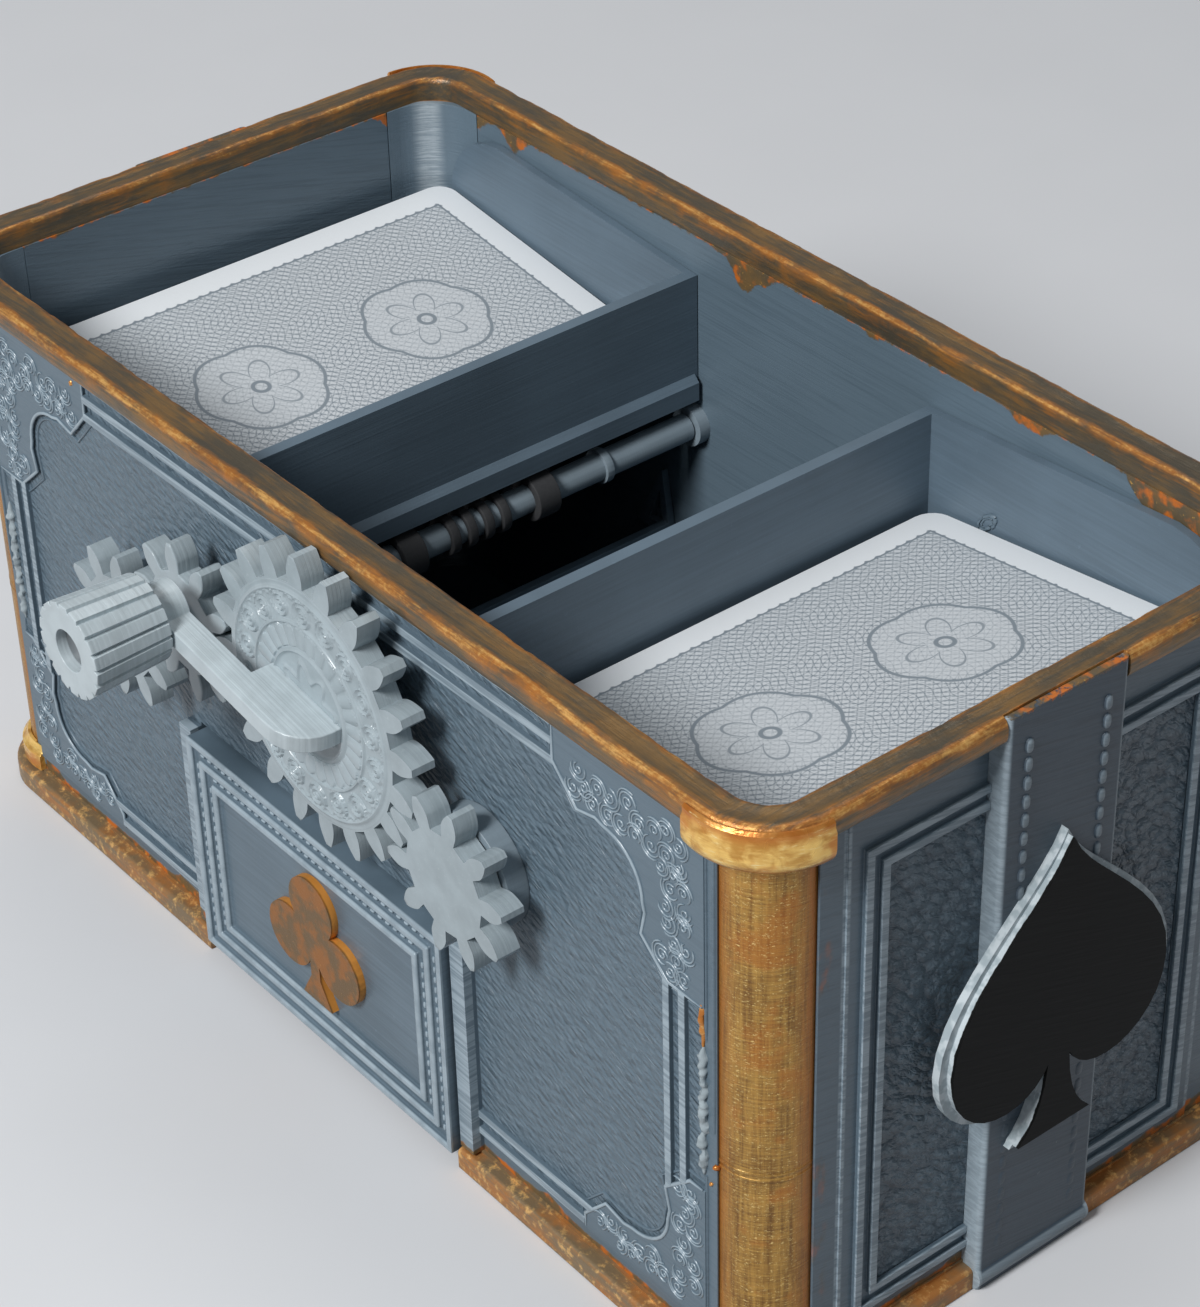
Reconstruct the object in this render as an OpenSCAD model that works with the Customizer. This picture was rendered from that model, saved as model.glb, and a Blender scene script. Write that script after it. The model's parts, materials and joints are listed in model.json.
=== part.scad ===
// Hand-cranked card shuffler: a printed box with two sloping card trays, a gear train on
// its front wall that turns two rubber-tyred feed shafts, and a drawer that catches the cards.
// X runs along the box, Y from the front (crank side) to the back, Z up.
// The origin is the middle of the underside.

/* [Playing cards] */
// Short side of a card, across the tray
card_w = 63.5; // [57:0.5:66]
// Long side of a card, from front to back
card_l = 88.9; // [86:0.1:92]
// Corner radius of a card
card_r = 3.5; // [2:0.5:4.5]
// Thickness of the pack that lies in each tray
pack_t = 7.6; // [5:0.2:9]

/* [Box] */
// Height from the table to the top of the rim
box_h = 104; // [100:1:116]
// Thickness of the four walls
wall_t = 2.4; // [2:0.2:3]
// How far the rim stands out from the walls
rim_out = 3.6; // [3:0.2:4.4]
// Width of the rim's flat top
rim_w = 5.8; // [5.2:0.2:6.4]
// Height of the rim
rim_h = 4.2; // [3.4:0.2:5]
// Thickness of the floor plate
floor_t = 2.4; // [2:0.2:3.2]
// Height of the moulding round the foot
base_h = 4.3; // [3.5:0.1:5]
// How far the foot moulding stands out from the walls
base_out = 2.8; // [2:0.1:3]
// Radius of the corner columns
column_r = 7.9; // [7.5:0.05:8.1]
// Corner radius inside the box
inner_r = 9; // [8.6:0.1:9.6]

/* [Trays] */
// Slope of the trays, down towards the middle
tilt = 7.3; // [5:0.1:9]
// Depth of the pack's top below the rim, at its inner edge
pack_drop = 27.1; // [25:0.1:30]
// Half the width of the well between the trays
well_half = 27.4; // [26:0.1:29]
// Thickness of the wall between tray and well
gate_t = 2.2; // [1.6:0.1:2.6]
// Depth of that wall's top below the rim
gate_drop = 11.1; // [9:0.1:13]
// Space between that wall and the pack
gate_gap = 2.6; // [2.2:0.1:3.4]
// Height of the slot that lets one card out
slot_h = 0.75; // [0.5:0.05:1]
// Space between the pack's outer edge and the end wall
end_gap = 2.8; // [2.2:0.1:4]
// Space in front of and behind the pack
side_gap = 1.95; // [1.5:0.05:3]
// Thickness of the tray's side walls
tray_wall = 1.4; // [1:0.1:1.8]
// Thickness of the tray's floor
tray_floor = 2; // [1.6:0.1:2.4]
// Space between a tray and the box walls
tray_fit = 0.2; // [0.1:0.05:0.4]

/* [Feed mechanism] */
// Distance of the feed shafts in from the pack's inner edge
shaft_in = 9.8; // [8:0.1:10.4]
// Radius of the feed shafts
shaft_r = 2.5; // [2.2:0.1:3]
// Radius of the rubber feed tyres
tyre_r = 6.9; // [6.5:0.1:7.4]
// Width of a feed tyre
tyre_w = 10; // [7:0.5:14]
// Distance between the middles of the two tyres on a shaft
tyre_gap = 34; // [28:1:44]
// Radius of the discs on the exit rollers
exit_r = 4; // [3.4:0.1:4.3]
// Radius of the exit rollers' rods
exit_rod_r = 2.4; // [2:0.1:2.8]
// Radial clearance of every running fit
run_fit = 0.05; // [0.02:0.01:0.09]

/* [Gear train] */
// Distance between the feed shafts, counted in gear modules
train_span = 37.3; // [36.6:0.02:37.8]
// Rise of the line from the right pinion to the crank gear, in degrees
right_rise = 24.8; // [22:0.01:30]
// Thickness of the gears
gear_t = 4; // [3:0.2:5]
// Gap between the rim and the back of the gears
gear_gap = 0.4; // [0.3:0.1:1]
// Turn of the crank gear at rest
gear_turn = 4; // [0:1:17]
// Angle of the teeth's working faces
press_angle = 20; // [20:0.5:24]
// Thinning of each tooth, for play
tooth_play = 0.3; // [0.24:0.02:0.4]

/* [Crank] */
// Distance from the crank axle to the knob
crank_r = 29; // [26:0.5:34]
// Direction of the arm at rest, from the right
crank_dir = 171; // [150:1:190]
// Radius of the crank axle
axle_r = 3; // [2.6:0.1:3.4]
// Thickness of the crank blade
blade_t = 3; // [2.4:0.2:4]
// Depth of the crank blade in front of the gear
blade_d = 8.4; // [7.6:0.2:10]
// Depth of the arm that carries the knob
arm_d = 4.6; // [3.8:0.2:5.2]
// Radius of the knob at its front
knob_r = 7.8; // [7.2:0.1:8.6]
// Length of the knob
knob_l = 13.5; // [11:0.5:16]
// Ribs round the knob
knob_ribs = 18; // [14:1:22]

/* [Drawer] */
// Height of the drawer's front
drawer_h = 42.2; // [38:0.2:44]
// Thickness of the drawer's front
drawer_front_t = 4.6; // [4:0.2:6]
// Thickness of the drawer's walls
drawer_wall = 1.2; // [1:0.1:1.4]
// Height of the drawer's side walls
drawer_side_h = 21; // [16:1:28]
// Space beside the cards in the drawer
drawer_fit = 0.45; // [0.4:0.05:0.8]
// Gap round the drawer's front
drawer_gap = 0.6; // [0.4:0.1:0.9]

/* [Ornament] */
// Width of the straps on the end walls
strap_w = 22.5; // [18:0.5:28]
// Thickness of the straps, which reach up over the rim's outer face
strap_t = 3.6; // [3:0.1:4.2]
// Width of the spade emblem
spade_w = 45; // [36:1:48]
// Height of the spade emblem
spade_h = 54; // [44:1:60]
// Thickness of the spade emblem
spade_t = 2.6; // [2:0.1:4]
// Width of the pale step round the spade's face
spade_step = 1.5; // [0.8:0.1:2.4]
// Height of the spade's foot above the table
spade_z = 27; // [20:1:32]
// Width of the club emblem
club_w = 24; // [18:1:28]
// Thickness of the club emblem
club_t = 1.4; // [1:0.2:2.2]
// Height of the raised lines on the walls
line_h = 0.8; // [0.5:0.1:1.1]
// Width of the raised lines on the walls
line_w = 1.3; // [1:0.1:1.8]

/* [Hidden] */
$fn = 64;

// Plan of the box, worked out from the cards outwards
pack_in = well_half + gate_t + gate_gap;
pack_out = pack_in + card_w * cos(tilt);
inner_x = pack_out + end_gap;
wall_x = inner_x + wall_t;
rim_x = wall_x + rim_out;
tray_y = card_l / 2 + side_gap;
inner_y = tray_y + tray_wall + tray_fit;
wall_y = inner_y + wall_t;
rim_y = wall_y + rim_out;
wall_top = box_h - rim_h;
pack_shift = side_gap * 0.6;

// Space at a fixed seam, and how deep one form sinks into the next of the same piece
seam = 0.03;
sunk = 0.4;

// The columns sit in the corners, on the rim's own corner centres
rim_r = column_r + 4;
column_x = rim_x - rim_r;
column_y = rim_y - rim_r;
column_fit = 0.1;
plinth_r = wall_x - column_x;
ring_z = 40;
ring_lap = 2.5;
collar_r = rim_r + 1;
collar_h = 7.8;
collar_turn = 3;
foot_r = plinth_r + 1.4;
foot_h = 4.6;
end_y = column_y - 1.5;
long_wall_x = column_x - 0.6;

// Heights of the packs and of the shafts under them
rest_gap = 0.15;
pack_z = box_h - pack_drop - pack_t / cos(tilt);
function under_pack(x) = pack_z + (x - pack_in) * tan(tilt);
shaft_x = pack_in + shaft_in;
shaft_z = under_pack(shaft_x) - (tyre_r + rest_gap) / cos(tilt);
tyre_slot = 1.2;
exit_x = well_half + 0.6;
exit_z = under_pack(exit_x) - exit_r - 0.3;
exit_end_r = 1.6;
exit_ring_y = tyre_gap / 2 + tyre_w;
exit_ring_w = 1.4;
disc_y = 13.5;
disc_w = 4.4;
rib_step = 3.4;
rib_r = exit_r - 0.6;
cup_l = 2.2;
cup_floor = 0.3;
gate_top = box_h - gate_drop;
gate_foot = under_pack(exit_x) + slot_h;
side_rise = 4.35;
turn_r = 14;
lip_h = 5;
lip_out = 1.2;
rail_t = 1.4;
rail_h = 1.6;

// Gear train: module, centres and the turn that puts each gear in mesh
crank_teeth = 20;
small_teeth = 10;
gear_face_t = 1;
gear_m = 2 * shaft_x / train_span;
big_step = (crank_teeth + small_teeth) / 2;
crank_x = shaft_x - big_step * gear_m * cos(right_rise);
crank_z = shaft_z + big_step * gear_m * sin(right_rise);
// The idler has as many teeth as it needs to bridge the way from the crank gear to the
// left pinion, and stands where its two centre distances meet
span = norm([crank_x + shaft_x, crank_z - shaft_z]);
idler_teeth = max(small_teeth, ceil(span / gear_m - big_step));
crank_reach = gear_m * (crank_teeth + idler_teeth) / 2;
left_reach = gear_m * (idler_teeth + small_teeth) / 2;
along = (pow(left_reach, 2) - pow(crank_reach, 2) + pow(span, 2)) / (2 * span);
aside = sqrt(pow(left_reach, 2) - pow(along, 2));
to_crank = [crank_x + shaft_x, crank_z - shaft_z] / span;
idler_x = -shaft_x + along * to_crank[0] - aside * to_crank[1];
idler_z = shaft_z + along * to_crank[1] + aside * to_crank[0];
gear_back = -(rim_y + gear_gap);
gear_front = gear_back - gear_t;

function direction(a, b) = atan2(b[1] - a[1], b[0] - a[0]);
// Turn of a gear that meshes with one that is already turned
function meshed(turn, n, way, m) = way + 180 - (turn - way) * n / m + 180 / m;
crank_at = [crank_x, crank_z];
idler_at = [idler_x, idler_z];
left_at = [-shaft_x, shaft_z];
right_at = [shaft_x, shaft_z];
right_turn = meshed(gear_turn, crank_teeth, direction(crank_at, right_at), small_teeth);
idler_turn = meshed(gear_turn, crank_teeth, direction(crank_at, idler_at), idler_teeth);
left_turn = meshed(idler_turn, idler_teeth, direction(idler_at, left_at), small_teeth);

// Sizes of the bushes, bosses and clips
boss_gap = 0.3;
boss_front = gear_back + boss_gap;
boss_r = 9.6;
crank_boss_r = boss_r - 1;
back_boss_r = boss_r - 3;
sleeve_t = 1.5;
bush_proud = 1;
flange_t = 1;
clip_t = 1.1;
clip_out = 1.9;
crank_clip_y = -inner_y + bush_proud + boss_gap;
shaft_clip_y = wall_y + flange_t + boss_gap;

// The knob runs on a pin that is fixed in the arm; distances in front of the gear
knob_back = blade_d + 0.4;
pin_r = 1.9;
pin_head_r = 3.1;
pin_head_t = 1.4;
knob_recess = 3.4;
arm_eye_r = 4.4;
hub_tail = 7.7;
hub_head = 9.3;
hub_r = 6.8;

// Drawer and the bin walls that guide it
slide_gap = 0.2;
drawer_in = card_w / 2 + drawer_fit;
drawer_x = drawer_in + drawer_wall;
drawer_z = floor_t + slide_gap;
drawer_face_y = -rim_y + line_h;
drawer_start = -rim_y + drawer_front_t;
drawer_end = inner_y - 1;
drawer_floor = 1.4;
door_x = drawer_x + drawer_gap;
jamb_w = 3.2;
jamb_t = 2.2;
bin_t = 1.6;
bin_x = drawer_x + 0.4;
bin_top = drawer_z + drawer_h - 3;
web_t = 1.4;
web_h = 10;
web_w = 8.6;
web_foot = 3;

// Ornament on the outside of the walls
plate_t = 0.5;
top_reach = 31;
top_arm = 12.4;
foot_reach = 27;
foot_arm = 8;
plate_cut = 5;
plate_step = 0.9;
plate_turn = 8;
panel_x = column_x - 2.6;
panel_z0 = base_h + 3;
panel_z1 = wall_top - 1.3;
frame_in = 8.8;
frame_y = column_y - frame_in;
frame_drop = 7.8;
frame_step = 2.2 * line_w;
panel_edge_in = 6.1;
panel_edge_y = column_y - panel_edge_in;
panel_edge_t = 0.3;
side_line_in = 4.4;
top_line_in = 0.9;
foot_line_in = 1.5;
strap_turn = 0.9;
strap_in_rim = 1.2;
strap_top = box_h - 0.4;
roll_r = 2.2;
roll_out = 0.6;

// A plane figure drawn in X and Z, with its thickness growing towards the front
module upright(y, t) {
    translate([0, y, 0]) rotate([90, 0, 0]) linear_extrude(t) children();
}

// A plane figure drawn in Y and Z, with its thickness growing towards the right
module sideways(x, t) {
    translate([x, 0, 0]) rotate([90, 0, 90]) linear_extrude(t) children();
}

// A round bar along Y from one place to another
module bar(at, y0, y1, r) {
    translate([at[0], y1, at[1]]) rotate([90, 0, 0]) cylinder(h = y1 - y0, r = r);
}

module box_plan(x, y, r) {
    square([2 * (x - r), 2 * y], center = true);
    square([2 * x, 2 * (y - r)], center = true);
    for (sx = [-1, 1], sy = [-1, 1]) translate([sx * (x - r), sy * (y - r)]) circle(r);
}

module inside_plan() {
    box_plan(inner_x, inner_y, inner_r);
}

// Section of the rim: inwards from its outer face, and up from its underside
function rim_section() = [
    [0.4, 0],
    [0, 0.5],
    for (a = [0:15:90]) [1 - cos(a), rim_h - 1 + sin(a)],
    [1.5, rim_h - 0.1],
    [rim_w - 0.5, rim_h - 0.1],
    [rim_w, rim_h - 0.6],
    [rim_w, 0]
];

// Section of the foot moulding: inwards from its outer face, and up from the table
function base_section() = [
    [0, 0],
    for (a = [0:18:90]) [0.9 - 0.9 * cos(a), base_h - 1.4 + 0.9 * sin(a)],
    [base_out - 0.6, base_h - 0.5],
    [base_out - 0.6, base_h],
    [base_out, base_h],
    [base_out, 0]
];

// A moulding that runs round the box with its outer face at x and y
module moulding(x, y, r, section) {
    for (s = [0, 1]) rotate([0, 0, 180 * s]) {
        translate([-(x - r), -y, 0]) rotate([90, 0, 90]) linear_extrude(2 * (x - r))
            polygon(section);
        translate([x, y - r, 0]) rotate([90, 0, 0]) linear_extrude(2 * (y - r))
            polygon([for (p = section) [-p[0], p[1]]]);
        translate([x - r, y - r, 0]) rotate_extrude(angle = 90)
            polygon([for (p = section) [r - p[0], p[1]]]);
        translate([x - r, -(y - r), 0]) rotate([0, 0, -90]) rotate_extrude(angle = 90)
            polygon([for (p = section) [r - p[0], p[1]]]);
    }
}

module floor_plate() {
    color("slategray") linear_extrude(floor_t) box_plan(wall_x, wall_y, plinth_r);
}

module base_trim() {
    color("peru") difference() {
        moulding(wall_x + base_out, wall_y + base_out, plinth_r + base_out, base_section());
        for (s = [-1, 1]) translate([s * (wall_x + base_out), 0, base_h / 2])
            cube([2 * base_out + 0.5, strap_w + 2 * seam, base_h + 2], center = true);
        translate([-door_x, -rim_y - 1, -1]) cube([2 * door_x, rim_out + 1.5, base_h + 2]);
    }
}

// Gold rim on top of the walls, with a shallow notch at each strap
module top_rim() {
    color("peru") difference() {
        translate([0, 0, wall_top]) moulding(rim_x, rim_y, rim_r, rim_section());
        for (s = [-1, 1]) translate([s * (rim_x + rim_w - strap_in_rim), 0, wall_top + rim_h / 2])
            cube([2 * rim_w, strap_w + 2 * seam, rim_h + 2], center = true);
    }
}

// Half the inner outline of a corner plate, from its far end to its rounded inner corner
function plate_half(reach, arm) = [
    [reach, 0],
    [reach, arm - plate_cut],
    [reach - plate_cut, arm + plate_step / 2],
    [reach - 1.8 * plate_cut, arm - plate_step / 2],
    for (a = [0:15:45]) [arm + plate_turn * (1 - sin(a)), arm + plate_turn * (1 - cos(a))]
];

function swapped(points) = [for (i = [len(points) - 1:-1:0]) [points[i][1], points[i][0]]];

// A raised plate for scrollwork, with its outer corner on the origin
module corner_figure(reach, arm) {
    half = plate_half(reach, arm);
    polygon(concat([[0, 0]], half, swapped(half)));
}

module corner_plates() {
    for (s = [0, 1]) mirror([s, 0]) {
        translate([panel_x, panel_z1]) rotate(180) corner_figure(top_reach, top_arm);
        translate([panel_x, panel_z0]) mirror([1, 0]) corner_figure(foot_reach, foot_arm);
    }
}

// Raised lines along each side of a panel, between its corner plates
module panel_lines() {
    step = 2.5 * line_w;
    side_z = panel_z0 + foot_reach - plate_cut;
    side_l = panel_z1 - top_reach + plate_cut - side_z;
    for (s = [-1, 1], k = [0, 1])
        translate([s * (panel_x - side_line_in - k * step) - line_w / 2, side_z])
            square([line_w, side_l]);
    for (k = [0, 1, 2]) translate([0, panel_z1 - top_line_in - k * step])
        square([2 * (panel_x - top_reach + plate_cut), line_w], center = true);
    for (k = [0, 1]) translate([0, panel_z0 + foot_line_in + k * step])
        square([2 * (panel_x - foot_reach + plate_cut), line_w], center = true);
}

// Rail on the inner face of a long wall that carries the edges of both trays
module tray_rails() {
    for (s = [0, 1]) mirror([s, 0, 0]) on_slope()
        translate([2 * shaft_in, -inner_y - wall_t / 2, -rest_gap - tray_floor - rail_h])
            cube([card_w - 3 * shaft_in, rail_t + wall_t / 2, rail_h]);
}

// Long wall with its ornament, facing the front
module long_wall() {
    difference() {
        union() {
            upright(-inner_y, wall_t) translate([-long_wall_x, floor_t])
                square([2 * long_wall_x, wall_top - floor_t]);
            upright(-wall_y + sunk, plate_t + sunk) corner_plates();
            upright(-wall_y + sunk, line_h + sunk) difference() {
                panel_lines();
                corner_plates();
            }
            tray_rails();
        }
        for (s = [-1, 1]) translate([s * column_x, -column_y, 0])
            cylinder(h = box_h, r = column_r + column_fit);
    }
}

// Raised jambs beside the drawer, standing up from the foot moulding
module door_jambs() {
    for (s = [0, 1]) mirror([s, 0, 0]) upright(-wall_y + sunk, jamb_t + sunk)
        translate([door_x, base_h]) square([jamb_w, drawer_z + drawer_h - base_h]);
}

// Everything that passes through the front wall
module front_openings() {
    for (at = [left_at, right_at])
        bar(at, -rim_y, -column_y, shaft_r + sleeve_t + seam);
    bar(crank_at, -rim_y, -column_y, axle_r + sleeve_t + seam);
    bar(idler_at, -rim_y, -column_y, shaft_r + seam);
    // the ornament leaves room for the bosses
    for (at = [left_at, right_at, crank_at, idler_at])
        bar(at, -rim_y, -wall_y, boss_r + column_fit);
    translate([-door_x, -rim_y - 1, 0])
        cube([2 * door_x, rim_out + wall_t + 2, drawer_z + drawer_h + drawer_gap]);
}

module front_wall() {
    color("slategray") difference() {
        union() {
            long_wall();
            door_jambs();
        }
        front_openings();
    }
}

module back_wall() {
    color("slategray") difference() {
        rotate([0, 0, 180]) long_wall();
        for (at = [left_at, right_at]) {
            bar(at, column_y, rim_y, shaft_r + sleeve_t + seam);
            bar(at, wall_y, rim_y, back_boss_r + column_fit);
        }
    }
}

// Raised line round an end panel, left open towards the strap
module end_frame(inset) {
    y0 = strap_w / 2 + seam;
    w = frame_y - inset - y0;
    z0 = panel_z0 + inset;
    h = wall_top - frame_drop - inset - z0;
    difference() {
        translate([y0, z0]) square([w, h]);
        translate([y0 - 1, z0 + line_w]) square([w + 1 - line_w, h - 2 * line_w]);
    }
}

// End wall between the columns, with two framed panels on a slightly raised ground
module end_wall() {
    difference() {
        sideways(inner_x, wall_t) translate([-end_y, floor_t])
            square([2 * end_y, wall_top - floor_t]);
        for (s = [-1, 1]) translate([column_x, s * column_y, 0])
            cylinder(h = box_h, r = column_r + column_fit);
    }
    for (s = [0, 1]) mirror([0, s, 0]) {
        sideways(wall_x - sunk, panel_edge_t + sunk) translate([strap_w / 2 + seam, base_h + seam])
            square([panel_edge_y - strap_w / 2 - seam, wall_top - base_h - seam]);
        sideways(wall_x, panel_edge_t + line_h) {
            end_frame(0);
            end_frame(frame_step);
        }
    }
}

module end_wall_right() {
    color("slategray") end_wall();
}

module end_wall_left() {
    color("slategray") mirror([1, 0, 0]) end_wall();
}

// Corner column: the round shaft outside, cut away inside for the cards
module column(sx, sy) {
    color("peru") difference() {
        translate([sx * column_x, sy * column_y, floor_t]) {
            cylinder(h = wall_top - floor_t, r = column_r);
            for (z = [ring_z, ring_z + 1.1]) translate([0, 0, z - floor_t])
                cylinder(h = 0.5, r = column_r + 0.07);
        }
        translate([0, 0, -1]) linear_extrude(box_h + 2) inside_plan();
    }
}

module column_front_left() { column(-1, -1); }
module column_front_right() { column(1, -1); }
module column_back_left() { column(-1, 1); }
module column_back_right() { column(1, 1); }

// Turned ring round the outside of each corner, cut to the quarter that shows.
// Its section goes outwards from the column's axis and up from height z.
module corner_rings(z, section, h) {
    for (sx = [0, 1], sy = [0, 1]) mirror([sx, 0, 0]) mirror([0, sy, 0]) intersection() {
        difference() {
            translate([column_x, column_y, z]) rotate_extrude() polygon(section);
            // the long wall ends inside the ring
            translate([0, 0, z - 1]) cube([column_x + seam, wall_y + seam, h + 2]);
        }
        translate([column_x - ring_lap, column_y, z]) cube([rim_r + ring_lap + 2, rim_r + 2, h]);
    }
}

// Collar round the head of each column, clasping the rim from outside
module column_collars() {
    hole = column_r + column_fit;
    rim_low = collar_h - rim_h;
    color("peru") difference() {
        corner_rings(box_h - collar_h, [
            [hole, 0],
            for (a = [0:15:90])
                [collar_r - collar_turn * (1 - sin(a)), collar_turn * (1 - cos(a))],
            [collar_r, collar_h - 2.2],
            [collar_r - 0.3, collar_h - 1.6],
            [collar_r - 0.3, collar_h - 0.8],
            [collar_r - 0.7, collar_h - 0.3],
            [rim_r - 2, collar_h - 0.3],
            [rim_r - 2, rim_low],
            [hole, rim_low]
        ], collar_h);
        translate([0, 0, wall_top]) linear_extrude(rim_h + 1)
            box_plan(rim_x + seam, rim_y + seam, rim_r + seam);
    }
}

// Round foot of each column, standing on the base moulding
module column_bases() {
    color("peru") corner_rings(base_h, [
        [column_r + column_fit, 0],
        [foot_r, 0],
        [foot_r, foot_h - 1.6],
        [foot_r - 0.8, foot_h - 0.9],
        [foot_r - 1.1, foot_h],
        [column_r + column_fit, foot_h]
    ], foot_h);
}

// Plan of the strap, its outer upright edges rounded
module strap_plan() {
    x1 = wall_x + strap_t;
    y1 = strap_w / 2;
    translate([wall_x, -y1]) square([strap_t - strap_turn, strap_w]);
    translate([wall_x, -y1 + strap_turn]) square([strap_t, strap_w - 2 * strap_turn]);
    for (s = [-1, 1]) translate([x1 - strap_turn, s * (y1 - strap_turn)]) circle(strap_turn);
}

// Strap over the middle of an end wall: it runs up over the rim's outer face, and its
// foot is rolled a little thicker
module strap() {
    linear_extrude(wall_top) strap_plan();
    translate([0, 0, wall_top - sunk]) linear_extrude(strap_top - wall_top + sunk) intersection() {
        strap_plan();
        translate([rim_x - strap_in_rim + seam, -strap_w]) square([strap_t, 2 * strap_w]);
    }
    intersection() {
        translate([wall_x + strap_t - roll_r + roll_out, strap_w / 2, roll_r]) rotate([90, 0, 0])
            cylinder(h = strap_w, r = roll_r);
        sideways(wall_x, strap_t + roll_r) translate([-strap_w, 0])
            square([2 * strap_w, 2 * roll_r]);
    }
}

module strap_right() {
    color("slategray") strap();
}

module strap_left() {
    color("slategray") mirror([1, 0, 0]) strap();
}

// Points of a smooth curve through four control points, without its last point
function curve(a, b, c, d, n) = [
    for (i = [0:n - 1]) let (t = i / n, u = 1 - t)
        u * u * u * a + 3 * u * u * t * b + 3 * u * t * t * c + t * t * t * d
];

function mirrored(points) = [for (i = [len(points) - 1:-1:0]) [-points[i][0], points[i][1]]];

// Right half of a spade, from its point down to its foot
function spade_half(w, h) = concat(
    curve([0, h], [w * 0.08, h * 0.84], [w * 0.5, h * 0.66], [w * 0.5, h * 0.4], 10),
    curve([w * 0.5, h * 0.4], [w * 0.5, h * 0.24], [w * 0.36, h * 0.16], [w * 0.24, h * 0.16], 7),
    curve([w * 0.24, h * 0.16], [w * 0.14, h * 0.16], [w * 0.08, h * 0.2], [w * 0.05, h * 0.25], 5),
    curve([w * 0.05, h * 0.25], [w * 0.06, h * 0.12], [w * 0.1, h * 0.05], [w * 0.17, 0], 5),
    [[w * 0.17, 0]]
);

// A whole spade of the given size, with its foot at height z
module spade_figure(w, h, z) {
    half = spade_half(w, h);
    translate([0, z]) polygon(concat(half, mirrored(half)));
}

// Spade on the strap: a pale edge, and a smaller face in front of it
module spade() {
    low = wall_x + strap_t;
    sideways(low, spade_t / 2) spade_figure(spade_w, spade_h, spade_z);
    sideways(low + spade_t / 2 - sunk, spade_t / 2 + sunk)
        spade_figure(spade_w - 2 * spade_step, spade_h - spade_step, spade_z + spade_step / 2);
}

module spade_right() {
    color("#1c1c1e") spade();
}

module spade_left() {
    color("#1c1c1e") mirror([1, 0, 0]) spade();
}

// Places the children on the right tray's slope, at the pack's lower inner edge
module on_slope() {
    translate([pack_in, 0, pack_z]) rotate([0, -tilt, 0]) children();
}

// Side wall of a tray: it rises outwards from the gate and is rounded down at its end
module tray_side_figure() {
    turn_x = pack_out - turn_r - 2;
    top_out = gate_top + (turn_x - well_half) * tan(side_rise);
    polygon([
        [well_half, gate_foot],
        [well_half, gate_top],
        for (a = [90:-15:0]) [turn_x + turn_r * cos(a), top_out - turn_r + turn_r * sin(a)],
        [turn_x + turn_r, under_pack(pack_out) - tray_floor],
        [pack_in + 0.6, under_pack(pack_in) - tray_floor - rest_gap]
    ]);
}

// Right tray: sloping floor with tyre slots, side walls, and the gate with its lip
module tray() {
    floor_in = 0.4;
    floor_l = (inner_x - tray_fit - pack_in) / cos(tilt) - floor_in;
    slot_l = 2 * tyre_r - 1.6;
    intersection() {
        difference() {
            union() {
                on_slope() translate([floor_in, -tray_y - tray_wall, -rest_gap - tray_floor])
                    cube([floor_l, 2 * (tray_y + tray_wall), tray_floor]);
                for (s = [0, 1]) mirror([0, s, 0])
                    upright(-tray_y, tray_wall) tray_side_figure();
            }
            for (s = [-1, 1]) translate([shaft_x, s * tyre_gap / 2, shaft_z])
                cube([slot_l, tyre_w + 2 * tyre_slot, 3 * tyre_r], center = true);
        }
        linear_extrude(box_h)
            box_plan(inner_x - tray_fit, inner_y - tray_fit, inner_r - tray_fit);
    }
    translate([well_half, -tray_y - tray_wall / 2, gate_foot])
        cube([gate_t, 2 * tray_y + tray_wall, gate_top - gate_foot]);
    // bevelled lip along the foot of the gate
    upright(tray_y + tray_wall / 2, 2 * tray_y + tray_wall) polygon([
        [well_half + sunk, gate_foot],
        [well_half - lip_out, gate_foot + 0.4],
        [well_half - lip_out, gate_foot + lip_h - 1.2],
        [well_half, gate_foot + lip_h],
        [well_half + sunk, gate_foot + lip_h]
    ]);
}

module tray_right() {
    color("lightslategray") tray();
}

module tray_left() {
    color("lightslategray") mirror([1, 0, 0]) tray();
}

// Three-cornered web between the long wall and the top of the bin wall
module web_figure() {
    side_w = web_w * 0.2;
    difference() {
        polygon([
            [bin_x, bin_top - web_foot],
            [bin_x, bin_top],
            [bin_x + side_w, bin_top + web_h],
            [bin_x + web_w, bin_top - web_foot]
        ]);
        polygon([
            [bin_x + side_w, bin_top - web_foot * 0.4],
            [bin_x + side_w * 1.4, bin_top + web_h * 0.6],
            [bin_x + web_w * 0.6, bin_top - web_foot * 0.4]
        ]);
    }
}

// Wall beside the drawer that guides it, with a web at each end that steers falling cards
module bin_wall() {
    translate([bin_x, -inner_y + tray_fit, floor_t])
        cube([bin_t, 2 * (inner_y - tray_fit), bin_top - floor_t]);
    for (y = [-inner_y + tray_fit + web_t, inner_y - tray_fit]) upright(y, web_t) web_figure();
}

module bin_wall_right() {
    color("slategray") bin_wall();
}

module bin_wall_left() {
    color("slategray") mirror([1, 0, 0]) bin_wall();
}

// Flanged bush in a long wall, seen from the front: y0 to y1 is its flange,
// y1 to y2 its sleeve, and it has a bore for a shaft of radius r
module bush(at, y0, y1, y2, flange_r, r) {
    difference() {
        union() {
            bar(at, y0, y1, flange_r);
            bar(at, y0, y2, r + sleeve_t);
        }
        bar(at, y0 - 1, y2 + 1, r + run_fit);
    }
}

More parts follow.
